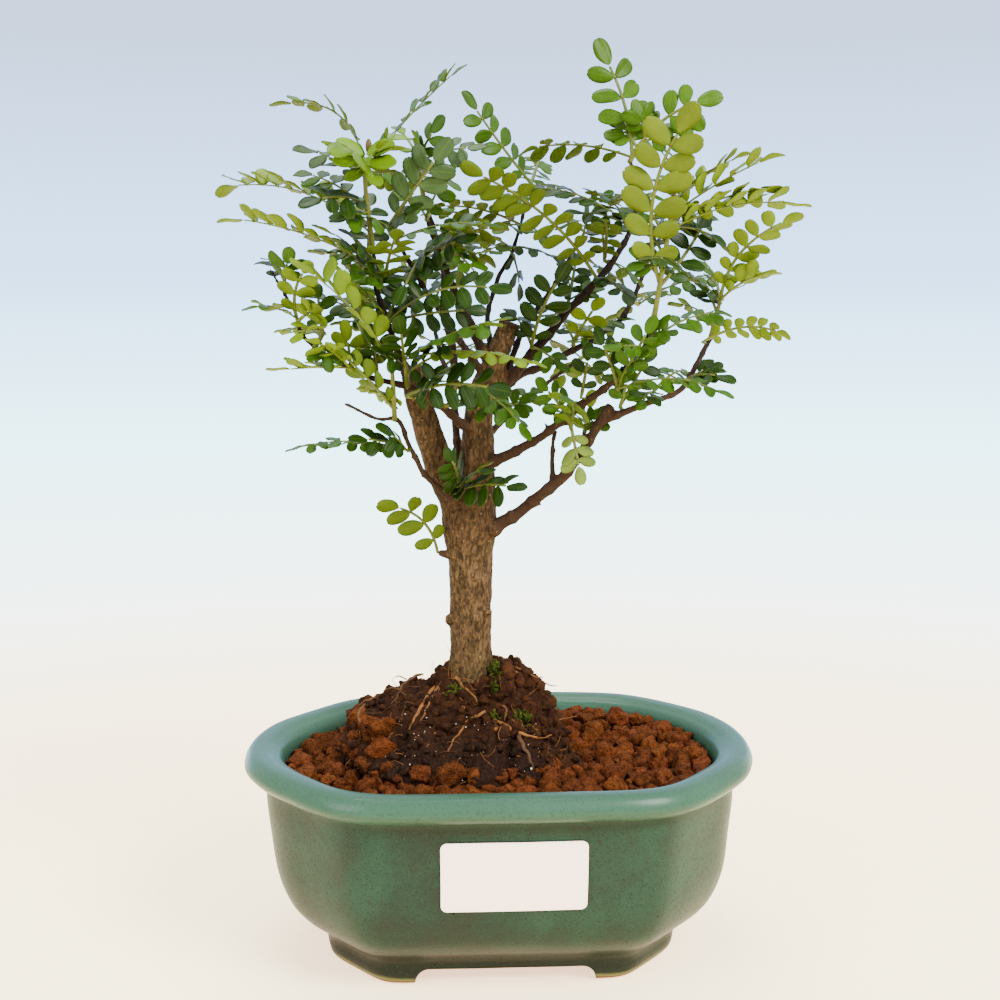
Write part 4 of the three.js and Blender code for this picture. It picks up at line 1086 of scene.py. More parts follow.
def woodPiece():
    draw = np.random.default_rng(77)
    heap = Heap()
    for name, line in lines.items():
        if name in bark["thick"]:
            line = line[line[:, 2] > bark["foot"]]
            swell = 1 + 0.035 * lumps(line[:, :3], 16, 70) + 0.02 * lumps(line[:, :3], 7, 71)
            heap.add(*tube(line[:, :3], line[:, 3] * swell, 40))
        else:
            knottedTube(line, draw, heap)
    for place, size in bark["scars"]:
        body, faces = ballMesh(3)
        heap.add(body * size + place, faces)
    wood = heap.make("Wood", barkMaterial())
    remesh = wood.modifiers.new("skin", "REMESH")
    remesh.mode = "VOXEL"
    remesh.voxel_size = bark["voxel"] * mm
    even = wood.modifiers.new("even", "SMOOTH")
    even.factor, even.iterations = 0.5, 3
    bpy.context.view_layer.objects.active = wood
    for modifier in list(wood.modifiers):
        bpy.ops.object.modifier_apply(modifier=modifier.name)
    mesh = wood.data
    count = len(mesh.vertices)
    points = np.empty(count * 3)
    mesh.vertices.foreach_get("co", points)
    points = points.reshape(-1, 3) / mm
    normals = np.empty(count * 3)
    mesh.vertices.foreach_get("normal", normals)
    normals = normals.reshape(-1, 3)

    age = barkAge(points)
    stretched = np.column_stack([points[:, :2], points[:, 2] / 4.2])
    rough = np.array([noise.noise(Vector(p)) for p in (stretched / 0.95).tolist()])
    broad = np.array([noise.noise(Vector(p)) for p in (stretched / 2.3 + 31).tolist()])
    groove = np.clip(1 - np.abs(rough + 0.35 * broad) / 0.16, 0, 1)
    grain = np.array([noise.noise(Vector(p)) for p in (points / (1.1, 1.1, 2.2)).tolist()])
    # the sawn end of the trunk
    top = np.array(boughs["trunk"][-1][:3])
    way = unit(top - np.array(boughs["trunk"][-2][:3]))
    beyond = (points - top) @ way
    cut = (beyond > -0.55) & (np.linalg.norm(points - top, axis=1) < 4.6)
    plain = 1 - cut.astype(float)
    # the dark hollow under the fork
    away = np.linalg.norm(points - bark["hollow"], axis=1)
    hollow = np.exp(-(away / bark["hollowRadius"]) ** 2)
    ripple = grain * bark["ripple"] * (0.4 + 0.6 * age)
    shift = plain * (age * (broad * 0.3 - groove * bark["fissure"]) + ripple)
    shift = shift - hollow * bark["hollowDepth"]
    points = points + normals * shift[:, None]
    mesh.vertices.foreach_set("co", (points * mm).ravel())
    grooves = np.maximum(groove * age * plain, hollow)
    for name, values in {"age": age * (1 - cut), "groove": grooves, "cut": cut}.items():
        layer = mesh.attributes.new(name, "FLOAT", "POINT")
        layer.data.foreach_set("value", np.asarray(values, np.float32))
    mesh.polygons.foreach_set("use_smooth", np.ones(len(mesh.polygons), bool))
    mesh.update()
    return settle(wood, "bark", "trunk_and_branches")


print("wood made,", len(woodPiece().data.polygons), "faces")


# The leaves. One spray a row: its foot, the end of its green shoot or None, and its fronds as
# share of the shoot, tip, facing in degrees, leaflet length, arch, sweep and tone.

sprays = [
    ((34, -5, 213.5), (38, -5, 219.5), [(0.12, (25, -2, 244), -80, 7.2, 0.02, 0.07, "mid"),
      (0.08, (4, -9, 215), -20, 6.5, 0.09, 0, "mid"),
      (1, (57, -10, 229), -60, 7, 0.06, -0.06, "mid"),
      (0.95, (35, -8, 228), -70, 6.5, 0.04, 0, "mid"),
      (0.6, (47, 4, 215), 40, 5.5, 0.1, 0, "mid")]),
    ((36.5, -33, 173.5), (40.5, -33, 200.5), [(0.25, (45, -42, 222), -85, 8.6, 0.02, 0.14, "pale"),
      (0.22, (51, -22, 198), 50, 6.4, 0.08, 0.05, "dark"),
      (0.72, (74, -34, 199), -45, 7.4, 0.1, 0, "pale"),
      (0.86, (65, -41, 211), -50, 6.4, 0.04, 0, "pale"),
      (1, (60, -26, 213), -50, 5.4, 0.03, 0, "pale"),
      (0.5, (29, -24, 199), 30, 5.2, 0.1, 0, "dark"),
      (0.35, (33, -58, 184), 30, 6, 0.1, 0, "dark")]),
    ((55.5, -8, 167.5), (58, -8, 177.5), [(1, (75, -26, 198), -60, 6.3, 0.02, 0.17, "pale"),
      (0.97, (70, -22, 183), -50, 6.4, 0.12, 0, "pale"),
      (0.9, (43, -14, 186), 15, 5.4, 0.08, 0, "dark"),
      (0.8, (54, 6, 190), -30, 5.4, 0.1, 0, "mid"), (0.2, (46, 4, 176), -30, 5, 0.16, 0, "mid")]),
    ((-33, -28, 191), (-34.5, -30, 207.5), [(0.1, (-74, -2, 206), -40, 7.2, 0.1, 0, "pale"),
      (0.42, (-52, -22, 208), 30, 5.8, 0.1, 0, "mid"),
      (0.5, (-49, -42, 198), 40, 6.4, 0.12, 0, "dark"),
      (0.95, (-40, -50, 211), 50, 8, 0.08, 0, "young"),
      (1, (-27, -46, 212), 50, 8, 0.08, 0, "young"),
      (0.85, (-59, -26, 223), -30, 6, 0.13, 0, "mid"),
      (1, (-10, -24, 234), -30, 5.4, 0.03, 0, "mid")]),
    ((-28, -16.5, 147.5), (-28.5, -21, 160), [(1, (-52, -36, 186), -60, 6.8, 0.02, -0.12, "young"),
      (0.1, (-43, -24, 165), -60, 5.6, 0.04, 0, "mid"),
      (0.15, (-37, 0, 154), -40, 5.2, 0.08, 0, "pale")]),
    ((-32.5, -17, 158.5), None, [(0, (-43, -32, 166), 0, 6.2, 0.08, 0, "dark"),
      (0, (-36, -25, 173), 50, 6.2, 0.06, 0, "dark")]),
    ((-34.3, -25.5, 185.5), None, [(0, (-71, -20, 197), -50, 7.2, 0.06, 0, "pale"),
      (0, (-39, -14, 204), 50, 6, 0.06, 0, "dark")]),
    ((53.5, -10, 165.5), None, [(0, (74, -20, 167), -40, 4.7, 0.2, 0, "pale")]),
    ((28.5, -24.5, 156), None, [(0, (56, -34, 152), 15, 5.4, 0.14, 0, "mid"),
      (0, (25, -31, 171), 70, 5.2, 0.06, 0, "dark"), (0, (36, -36, 172), 60, 5.2, 0.06, 0, "mid")]),
    ((48.5, -17, 157), None, [(0, (58, -26, 156), 30, 5.2, 0.12, 0, "dark")]),
    ((38.5, -16, 153), None, [(0, (54, -1, 158), 30, 5, 0.12, 0, "mid"),
      (0, (34, -29, 143), 10, 5, 0.12, 0, "mid")]),
    ((30.5, -17, 149.5), None, [(0, (32, -26, 161), 60, 5.8, 0.05, 0, "mid")]),
    ((34.5, -30, 165), None, [(0, (55, -24, 176), 20, 5, 0.14, 0, "mid")]),
    ((17.5, -15.5, 146), None, [(0, (14, -38, 153), 45, 6.4, 0.1, 0, "mid"),
      (0, (13, -20, 160), 70, 5, 0.04, 0.05, "mid"),
      (0, (20, -20, 130), -70, 6.4, 0.05, 0, "pale")]),
    ((0, 10, 145.5), None, [(0, (16, 16, 147), 60, 5.8, 0.06, 0, "mid")]),
    ((21.5, -12, 141.5), None, [(0, (24, -5, 153), -50, 5.4, 0.06, 0, "pale")]),
    ((20.5, -18, 152), None, [(0, (23, -25, 164), 60, 5, 0.05, 0, "dark")]),
    ((21.5, 14.5, 166), None, [(0, (28, 5, 178), -60, 6, 0.05, 0, "pale"),
      (0, (12, 30, 178), 10, 5.4, 0.1, 0, "dark")]),
    ((8, -5.5, 165), None, [(0, (13, -12, 189), 80, 6.4, 0.03, -0.06, "dark")]),
    ((18, -5, 177), None, [(0, (21, 4, 190), 60, 5.4, 0.06, 0, "dark"),
      (0, (10, -19, 184), 40, 5.4, 0.12, 0, "dark")]),
    ((24.5, -11.5, 182.5), None, [(0, (-14, -26, 208), -45, 6.6, 0.04, -0.07, "olive"),
      (0, (31, -28, 175), 10, 5.2, 0.12, 0, "dark")]),
    ((27, -8, 187.5), None, [(0, (27, 3, 198), 30, 5, 0.08, 0, "dark"),
      (0, (32, -25, 197), 20, 5, 0.1, 0, "dark")]),
    ((33.5, -10, 196), None, [(0, (20, -22, 204), 15, 5.2, 0.1, 0, "dark"),
      (0, (6, 2, 207), 10, 5.6, 0.1, 0, "dark")]),
    ((38.5, -6, 202.5), None, [(0, (22, 8, 216), -20, 5.2, 0.04, 0, "dark"),
      (0, (52, 10, 211), 30, 5.2, 0.1, 0, "mid")]),
    ((24, 14, 196), None, [(0, (17, 24, 204), 50, 5, 0.1, 0, "mid"),
      (0, (29, 2, 205), 50, 5, 0.1, 0, "mid")]),
    ((9, 18, 207), None, [(0, (-9, 9, 233), -60, 6.2, 0.03, -0.05, "mid"),
      (0, (23, 12, 206), 10, 5.2, 0.1, 0, "dark"), (0, (14, 42, 219), 40, 5.4, 0.1, 0, "mid")]),
    ((7, 15.5, 198), None, [(0, (-19, 6, 202), -30, 6, 0.1, 0, "olive"),
      (0, (12, 1, 192), -30, 5.4, 0.1, 0, "mid")]),
    ((3, 14.5, 192.5), None, [(0, (-14, 22, 207), -20, 6, 0.1, 0, "mid"),
      (0, (-7, 2, 187), -20, 5.6, 0.1, 0, "olive")]),
    ((-20.5, 10, 206), (-21.5, 8, 215), [(1, (-15, 1, 225), 50, 6, 0.06, 0, "mid"),
      (0.9, (-4, 0, 217), 50, 5.4, 0.1, 0, "grey"), (1, (-28, 18, 225), 30, 6, 0.08, 0, "young"),
      (0.5, (-17, 34, 216), 40, 6, 0.1, 0, "mid"),
      (0.3, (-42, 20, 212), -30, 5.6, 0.1, 0, "dark")]),
    ((-26.5, -23, 190.5), (-28.5, -26, 195), [(1, (-14, -36, 214), 75, 7, 0.05, 0, "grey"),
      (0.2, (-1, -34, 194), 10, 6, 0.08, 0, "mid")]),
    ((-30.5, -23, 181), None, [(0, (-50, -8, 189), -20, 5.6, 0.1, 0, "grey"),
      (0, (-28, -44, 192), 50, 6, 0.06, 0, "dark")]),
    ((-55, -18, 181.5), None, [(0, (-53, -27, 189), 60, 5.6, 0.05, 0, "mid"),
      (0, (-62, -4, 188), 20, 5, 0.1, 0, "dark")]),
    ((-52, -20, 171.5), None, [(0, (-65, -26, 174), -30, 4.6, 0.14, 0, "mid"),
      (0, (-47, -27, 186), -70, 5.2, 0.04, 0.16, "pale")]),
    ((-47, -18.5, 166.5), None, [(0, (-52, -34, 166), -10, 4.8, 0.12, 0, "pale"),
      (0, (-48, -12, 181), -60, 5.4, 0.04, 0, "mid"), (0, (-58, 0, 168), 10, 5, 0.1, 0, "pale")]),
    ((-39, -19.5, 159.5), None, [(0, (-59, -24, 160), -50, 6, 0.03, 0, "pale"),
      (0, (-41, -29, 173), -50, 5.4, 0.06, 0, "pale")]),
    ((-30, -21, 171.5), None, [(0, (-56, -31, 176), -8, 6, 0.08, 0, "pale"),
      (0, (-45, -30, 169), -30, 5.8, 0.08, 0, "dark"),
      (0, (1, -35, 178), 45, 6.2, 0.12, -0.08, "dark"),
      (0, (-5, -25, 174), 60, 5.6, 0.08, 0, "dark")]),
    ((-29, -13, 169), None, [(0, (-37, -3, 190), -40, 5.6, 0.08, 0, "mid"),
      (0, (-50, -6, 178), -30, 5.8, 0.08, 0, "mid")]),
    ((-25, -16, 138), None, [(0, (-39, -26, 142), 40, 5.6, 0.08, 0, "dark"),
      (0, (-55, -24, 139), 8, 5, 0.08, 0, "mid")]),
    ((-17, -1, 109.5), None, [(0, (-34, -8, 123), -60, 5.6, 0.04, -0.2, "mid")]),
    ((-12, -7, 126.5), None, [(0, (5, -26, 129), 30, 5.6, 0.1, 0, "dark"),
      (0, (-15, -25, 139), 40, 5.4, 0.08, 0, "dark")]),
    ((-24.5, -16, 156), (-25.5, -21, 162), [(1, (1, -37, 176), 15, 6.6, 0.04, 0, "mid"),
      (0.95, (9, -37, 160), 10, 5.4, 0.08, 0, "pale"),
      (0.9, (-26, -30, 186), 80, 6.4, 0.03, 0, "dark")]),
    ((-20.5, -15, 152), (-25, -20, 152.5), [(1, (-1, -35, 162), 75, 6.4, 0.06, -0.075, "dark")]),
    ((-13.5, -9.5, 150), (-12, -12, 155), [(1, (6, -29, 142), 20, 5.4, 0.13, 0, "mid")]),
    ((-22, -20, 186), None, [(0, (-16, -34, 194), 60, 6.6, 0.06, 0, "dark"),
      (0, (-8, -30, 193), 50, 6.2, 0.08, 0, "dark")]),
    ((-16, -11, 191), None, [(0, (1, -18, 195), -30, 6, 0.1, 0, "olive"),
      (0, (-2, -15, 186), -30, 6, 0.08, 0, "olive")]),
    ((-19.5, -12, 197.5), None, [(0, (-10, -20, 207), -30, 6, 0.08, 0, "mid"),
      (0, (-32, -10, 206), 30, 6, 0.1, 0, "mid")]),
    ((45, 22, 194), None, [(0, (64, 28, 201), 30, 5.6, 0.1, 0, "dark"),
      (0, (40, 46, 205), -30, 5.6, 0.1, 0, "dark"), (0, (55, 8, 211), 30, 5.4, 0.08, 0, "dark")]),
    ((39.5, 22.5, 177.5), None, [(0, (66, 12, 184), 30, 5.6, 0.1, 0, "mid"),
      (0, (52, 44, 180), -20, 5.6, 0.1, 0, "mid"), (0, (26, 34, 190), -20, 5.4, 0.1, 0, "dark")]),
    ((24.5, 31.3, 160.8), None, [(0, (46, 44, 160), -10, 5.6, 0.1, 0, "mid"),
      (0, (26, 58, 172), -30, 5.6, 0.1, 0, "mid"), (0, (4, 46, 168), -10, 5.4, 0.1, 0, "dark")]),
    ((-20, 41, 182), None, [(0, (-34, 58, 188), -30, 5.8, 0.1, 0, "mid"),
      (0, (-6, 58, 194), -30, 5.8, 0.1, 0, "dark")]),
    ((-18.5, 28, 166), None, [(0, (-42, 40, 170), -10, 5.6, 0.1, 0, "dark")]),
    ((-12, 23, 161.5), None, [(0, (2, 50, 164), -10, 5.4, 0.1, 0, "dark")]),
    ((-16.5, 13, 178.5), None, [(0, (-4, 38, 196), -30, 5.4, 0.1, 0, "dark")]),
]
leaf = {
    # grey is a green with the leaves' silvery sheen painted in
    "tones": {"pale": (164, 186, 92), "mid": (98, 144, 40), "dark": (54, 98, 22),
              "olive": (106, 138, 50), "grey": (112, 142, 92), "young": (150, 182, 54),
              "bright": (116, 158, 44), "faint": (166, 184, 128), "big": (150, 166, 78)},
    "shoot": (166, 172, 98), "joint": (128, 110, 60), "bud": (150, 124, 56),
    # shares of a leaflet's length: room for each pair, its width and its own short stem
    "spread": 0.66, "width": 0.6, "stem": 0.05,
    "thick": 0.3, "fold": 0.2, "along": 9, "across": 4,
    # the outline: how blunt its base and tip are, and the shares before and after its widest place
    "baseCurve": 0.66, "tipCurve": 0.52, "widest": (0.56, 0.44), "notch": 0.045,
    # the bare stalk at a frond's foot: the least, and as a share of the frond
    "leastStalk": 3.0, "stalkShare": 0.13, "endRoom": 0.62, "lean": (27, 6),
    "growth": [(0, 0.74), (0.25, 0.92), (0.6, 1.04), (1, 0.94)],  # leaflet sizes along the frond
}
gap = 0.3  # between a spray's foot and the bark

# how some fronds are seen, by spray and place in its row: facing, leaflet length, arch and the
# rise of the leaflets
restyled = {
    (1, 0): (82, 7.8, 0.02, -0.1), (1, 2): (66, 7.4, 0.12, -0.1), (1, 3): (70, 6.5, 0.04, -0.1),
    (2, 2): (-4, 7.4, 0.1, 0.4), (2, 3): (-6, 6.4, 0.04, 0.4), (2, 4): (-20, 5.4, 0.03, 0.3),
    (3, 0): (-30, 5.8, 0.02, 0.1), (3, 1): (-10, 6.2, 0.12, 0.35), (4, 0): (0, 7.4, 0.1, 0.45),
    (4, 5): (-8, 5.6, 0.3, 0.1), (4, 6): (2, 5.2, 0.03, 0.25), (5, 0): (-8, 7.2, 0.02, 0.45),
    (5, 1): (-22, 6, 0.04, 0.3), (7, 0): (-8, 6.8, 0.06, 0.35), (8, 0): (-40, 4.7, 0.2, 0),
    (10, 0): (40, 6, 0.12, -0.2), (14, 2): (-60, 5.2, 0.05, 0.1), (26, 0): (52, 6.4, 0.03, -0.1),
    (33, 0): (2, 5, 0.14, 0.1), (34, 0): (-4, 5, 0.12, 0.2), (34, 1): (56, 5.4, 0.04, -0.1),
    (35, 0): (-8, 6.2, 0.03, 0.4), (35, 1): (-30, 5.8, 0.06, 0.25), (37, 0): (50, 5.6, 0.08, -0.1),
    (37, 1): (30, 5.8, 0.08, -0.1), (39, 0): (-76, 7, 0.04, -0.2), (40, 0): (50, 6.6, 0.08, -0.2),
    (40, 1): (64, 5.2, 0.08, -0.2), (46, 0): (40, 5.8, 0.08, -0.1),
}
retoned = {(1, 0): "bright", (1, 1): "bright", (1, 2): "bright", (1, 3): "bright", (2, 0): "big",
           (14, 2): "faint", (39, 0): "olive", (4, 5): "bright", (7, 0): "pale"}
# single leaflets at the end of spray 4's shoot: joint, heading, upper side and length
rosette = [
    ((-34.0, -36, 210.4), (-0.9, -0.2, 0.4), (0.15, -0.9, 0.4), 7.4),
    ((-34.0, -36, 210.4), (0.93, -0.2, 0.34), (-0.1, -0.9, 0.4), 7.4),
    ((-34.2, -37, 208.4), (-1.0, -0.2, 0.14), (0.1, -0.85, 0.5), 7.2),
    ((-34.0, -37, 208.2), (0.95, -0.2, 0.02), (-0.1, -0.85, 0.5), 7.4),
    ((-34.0, -36.5, 207), (0.5, -0.3, -0.5), (0.1, -0.85, 0.3), 5.8),
    ((-34.1, -36.5, 207), (-0.6, -0.3, -0.35), (0.1, -0.85, 0.3), 5.4),
]
buds = [((-33.2, -35, 212.6), 4), ((40.8, -33, 200.8), 2)]  # place and spray
# more fronds on the same feet and shoots, which fill the crown
fillIns = {
    1: [(0.5, (29, -2, 225), 64, 6.2, 0.06, 0, "bright"),
        (0.7, (49, -8, 222), 56, 6.4, 0.06, 0, "bright")],
    2: [(0.3, (31, -30, 189), 60, 5.8, 0.04, 0, "mid"),
        (0.6, (33, -30, 202), 40, 5.6, 0.06, 0, "mid"),
        (0.8, (67, -36, 204), -20, 6.4, 0.06, 0, "pale"),
        (0.75, (56, -26, 189), 20, 6, 0.12, 0, "dark")],
    3: [(0.6, (53, -2, 182), 20, 5.6, 0.1, 0, "dark")],
    4: [(0.9, (-51, -30, 213), 15, 6.5, 0.06, 0, "grey"),
        (0.4, (-42, -34, 194), 25, 6.2, 0.08, 0, "mid")],
    5: [(0.35, (-32, -6, 152), -40, 5.6, 0.08, 0, "pale")],
    7: [(0, (-46, -36, 194), 20, 7, 0.06, 0, "dark"),
        (0, (-44, -16, 189), 35, 5.8, 0.08, 0, "mid")],
    9: [(0, (34, -34, 164), 40, 5.4, 0.06, 0, "mid")],
    10: [(0, (56, -20, 160), 40, 5.6, 0.08, 0, "dark")],
    12: [(0, (40, -10, 164), 50, 5.4, 0.08, 0, "dark")],
    13: [(0, (24, -36, 164), 30, 5.4, 0.1, 0, "mid"), (0, (40, -36, 172), 40, 5.4, 0.08, 0, "mid")],
    14: [(0, (7, -18, 151), 20, 5.4, 0.1, 0, "mid")],
    15: [(0, (13, 20, 153), 40, 5.6, 0.08, 0, "mid")],
    16: [(0, (27, -14, 149), 30, 5.2, 0.1, 0, "mid")],
    18: [(0, (39, 20, 173), 10, 6, 0.1, 0, "dark"), (0, (34, 8, 165), 20, 5.6, 0.1, 0, "mid")],
    19: [(0, (2, 6, 175), 20, 5.8, 0.1, 0, "dark"), (0, (17, -10, 158), 40, 5.4, 0.1, 0, "mid")],
    20: [(0, (27, -6, 180), 30, 5.4, 0.1, 0, "mid")],
    22: [(0, (38, 0, 181), 20, 5.6, 0.1, 0, "mid")],
    23: [(0, (16, -12, 199), 30, 5.4, 0.1, 0, "dark")],
    24: [(0, (26, 0, 205), 20, 5.4, 0.08, 0, "dark")],
    26: [(0, (-1, 8, 202), 20, 5.8, 0.1, 0, "mid")],
    27: [(0, (-1, 4, 195), 10, 5.8, 0.1, 0, "mid")],
    28: [(0, (17, 8, 188), 12, 6, 0.08, 0, "mid"), (0, (6, 20, 178), 30, 5.6, 0.1, 0, "dark")],
    29: [(0.5, (-11, 2, 206), 20, 6, 0.08, 0, "mid"), (0.9, (-22, 2, 221), 40, 6, 0.06, 0, "mid")],
    30: [(0.5, (-38, -36, 197), 20, 6, 0.08, 0, "mid"),
         (1, (-21, -34, 199), 50, 6, 0.06, 0, "dark")],
    31: [(0, (-40, -34, 193), 30, 6, 0.08, 0, "dark"),
         (0, (-38, -34, 182), 30, 5.6, 0.08, 0, "mid")],
    33: [(0, (-46, -26, 175), -50, 5.6, 0.06, 0, "pale")],
    34: [(0, (-44, -24, 159), 20, 5.4, 0.1, 0, "mid")],
    35: [(0, (-49, -30, 167), -40, 5.4, 0.08, 0, "pale")],
    36: [(0, (-23, -12, 184), 50, 6, 0.06, 0, "dark")],
    37: [(0, (-44, -12, 171), -20, 5.6, 0.08, 0, "mid")],
    38: [(0, (-32, -24, 145), 40, 6, 0.06, 0, "dark")],
    40: [(0, (-3, -22, 134), 40, 5.6, 0.1, 0, "dark")],
    41: [(0.3, (-14, -28, 164), 60, 6, 0.08, 0, "dark"),
         (0.6, (-33, -28, 164), 40, 6, 0.08, 0, "dark")],
    42: [(0, (-15, -34, 159), 60, 6, 0.06, 0, "dark")],
    43: [(0, (0, -26, 147), 30, 5.4, 0.12, 0, "mid")],
    44: [(0, (-27, -30, 176), 60, 6.2, 0.06, 0, "dark"),
         (0, (-15, -26, 183), 40, 6, 0.1, 0, "dark")],
    45: [(0, (-8, -8, 199), 30, 6, 0.08, 0, "dark"), (0, (-5, -20, 180), 20, 5.6, 0.1, 0, "mid"),
         (0, (-10, 2, 182), 30, 5.8, 0.1, 0, "dark")],
    46: [(0, (-13, 0, 200), 10, 5.8, 0.1, 0, "mid")],
    48: [(0, (33, 30, 168), 10, 5.6, 0.1, 0, "dark")],
    49: [(0, (20, 44, 153), 0, 5.4, 0.1, 0, "mid"), (0, (32, 40, 154), 10, 5.4, 0.1, 0, "dark")],
}


# a spray's foot on the bark nearest to a point, and the way out of the wood
def seatOnWood(point):
    best = None
    for route in boughs.values():
        for i in range(len(route) - 1):
            a, b = np.array(route[i][:3], float), np.array(route[i + 1][:3], float)
            span = b - a
            share = float(np.clip(np.dot(point - a, span) / np.dot(span, span), 0, 1))
            centre = a + span * share
            radius = route[i][3] + (route[i + 1][3] - route[i][3]) * share
            if i == len(route) - 2 and share > 0.999:
                radius = 0
            distance = np.linalg.norm(point - centre) - radius
            if best is None or distance < best[0]:
                best = (distance, centre, radius)
    outward = unit(point - best[1])
    return best[1] + outward * (best[2] + gap), outward


def turned(vector, axis, degrees):
    angle = math.radians(degrees)
    axis = unit(axis)
    return (vector * math.cos(angle) + np.cross(axis, vector) * math.sin(angle)
            + axis * np.dot(axis, vector) * (1 - math.cos(angle)))


# the small turns about a frond's base that keep it clear of its neighbours, in order
def swings():
    rows = [(0, 0, 1)]
    for reach, stretch in [(5, 1), (10, 1), (16, 1), (0, 0.8), (12, 0.8), (24, 1), (24, 0.8),
                           (36, 0.7)]:  # degrees, and a share of the frond's length
        for k in range(8 if reach else 1):
            turn = math.pi * k / 4
            rows.append((reach * math.cos(turn), reach * math.sin(turn), stretch))
    return rows


# along, across and upward for a frond; facing is how far its upper side leans to the front
def frondAxes(base, tip, facing):
    along = tip - base
    length = np.linalg.norm(along)
    along = along / length
    tilt = math.radians(facing)
    upward = np.array((0.13, -math.sin(tilt), math.cos(tilt)))
    upward = unit(upward - along * np.dot(upward, along))
    return along, np.cross(along, upward), upward, length


# picks the swing whose tip is where the CAD model has it
def frondTip(base, aim, facing, leaflet, lead, corners):
    best = None
    for yaw, pitch, stretch in swings():
        arm = (aim - base) * stretch
        arm = turned(arm, np.array((-arm[1], arm[0], 0)), -pitch)
        arm = turned(arm, np.array((0, 0, 1.0)), yaw)
        tip = base + arm
        root = base - lead * unit(arm)
        along, across, upward, length = frondAxes(root, tip, facing)
        edge = 0.24 * leaflet  # half the width of the solid's tip
        miss = 0
        for side in (-1, 1):
            corner = root + along * length + across * edge * side + upward * (0.35 - 0.22 * edge)
            miss += np.linalg.norm(corners - corner, axis=1).min()
        if best is None or miss < best[0] - 0.01:
            best = (miss, root, tip)
    return best


def leafMaterial():
    sheet = newSheet("leaf")
    tone = sheet.mark("tone", "Color")
    blade = sheet.mark("blade", "Vector")  # along, across, underside
    along, across, under = (sheet.part(blade, axis) for axis in "XYZ")
    point = sheet.place()
    mottle = sheet.noise(point, 2.6, 3)
    vein = along * 9 - across * 3.2
    wave = sheet.add("ShaderNodeMath", {"operation": "FRACT"}, {0: vein})
    wave = sheet.add("ShaderNodeMath", {"operation": "ABSOLUTE"}, {0: wave - 0.5})
    side = 1 - sheet.step(wave, 0.02, 0.14)
    rib = 1 - sheet.step(across, 0.01, 0.08)
    shades = sheet.ramp(mottle, [(0.25, (0.74, 0.78, 0.74)), (0.75, (1.2, 1.14, 1.1))])
    colour = sheet.mix(1.0, tone, shades, "MULTIPLY")
    light = sheet.mix(0.5, colour, paint(180, 192, 120))
    colour = sheet.mix(rib * 0.3, colour, light)
    colour = sheet.mix(side * 0.05 * (1 - across), colour, light)
    edge = sheet.step(across, 0.9, 1.0)
    colour = sheet.mix(edge * 0.4, colour, paint(88, 98, 40))
    below = sheet.mix(0.34, colour, paint(172, 186, 104))
    colour = sheet.mix(under, colour, below)
    rough = 0.34 + under * 0.25 + mottle * 0.12
    return sheet.finish({"Base Color": colour, "Roughness": rough, "Specular IOR Level": 0.1})


def shootMaterial():
    sheet = newSheet("greenShoot")
    point = sheet.place()
    tone = sheet.mark("tone", "Color")
    stains = sheet.step(sheet.noise(point, 1.4, 3), 0.45, 0.7)
    colour = sheet.mix(stains * 0.3, tone, paint(140, 100, 58))
    return sheet.finish({"Base Color": colour, "Roughness": 0.45, "Specular IOR Level": 0.2,
                         "Normal": sheet.bump(sheet.noise(point, 0.5, 2), 0.08, 0.5)})


# one flat leaflet: for each point its place along (0 to 1), across (-1 to 1), and the half width
def bladeGrid():
    rows = 0.5 - 0.5 * np.cos(np.pi * np.linspace(0, 1, leaf["along"] + 1))
    rows = 0.004 + 0.99 * rows  # short of the very ends, where the width would be nothing
    base, end = leaf["baseCurve"], leaf["tipCurve"]
    before, after = leaf["widest"]
    half = rows ** base * (1 - rows) ** end
    half = half / (before ** base * after ** end)
    across = np.linspace(-1, 1, leaf["across"] + 1)
    p, q = np.meshgrid(rows, across, indexing="ij")
    w = np.meshgrid(half, across, indexing="ij")[0]
    notch = 1 - leaf["notch"] * np.exp(-(q / 0.4) ** 2) * p ** 8
    return (p * notch).ravel(), q.ravel(), w.ravel()


def bladeFaces():
    rows, columns = leaf["along"] + 1, leaf["across"] + 1
    count = rows * columns
    top, bottom, rim = [], [], []
    for i in range(rows - 1):
        for j in range(columns - 1):
            a, d = i * columns + j, (i + 1) * columns + j
            b, c = a + 1, d + 1
            top.append((a, d, c, b))
            bottom.append((count + a, count + b, count + c, count + d))
    border = [i * columns for i in range(rows)]
    border += [(rows - 1) * columns + j for j in range(1, columns)]
    border += [i * columns + columns - 1 for i in range(rows - 2, -1, -1)]
    border += list(range(columns - 2, 0, -1))
    for here, there in zip(border, border[1:] + border[:1]):
        rim.append((here, count + here, count + there, there))
    return top + bottom, rim


bladeP, bladeQ, bladeW = bladeGrid()
bladeSkin, bladeRim = bladeFaces()


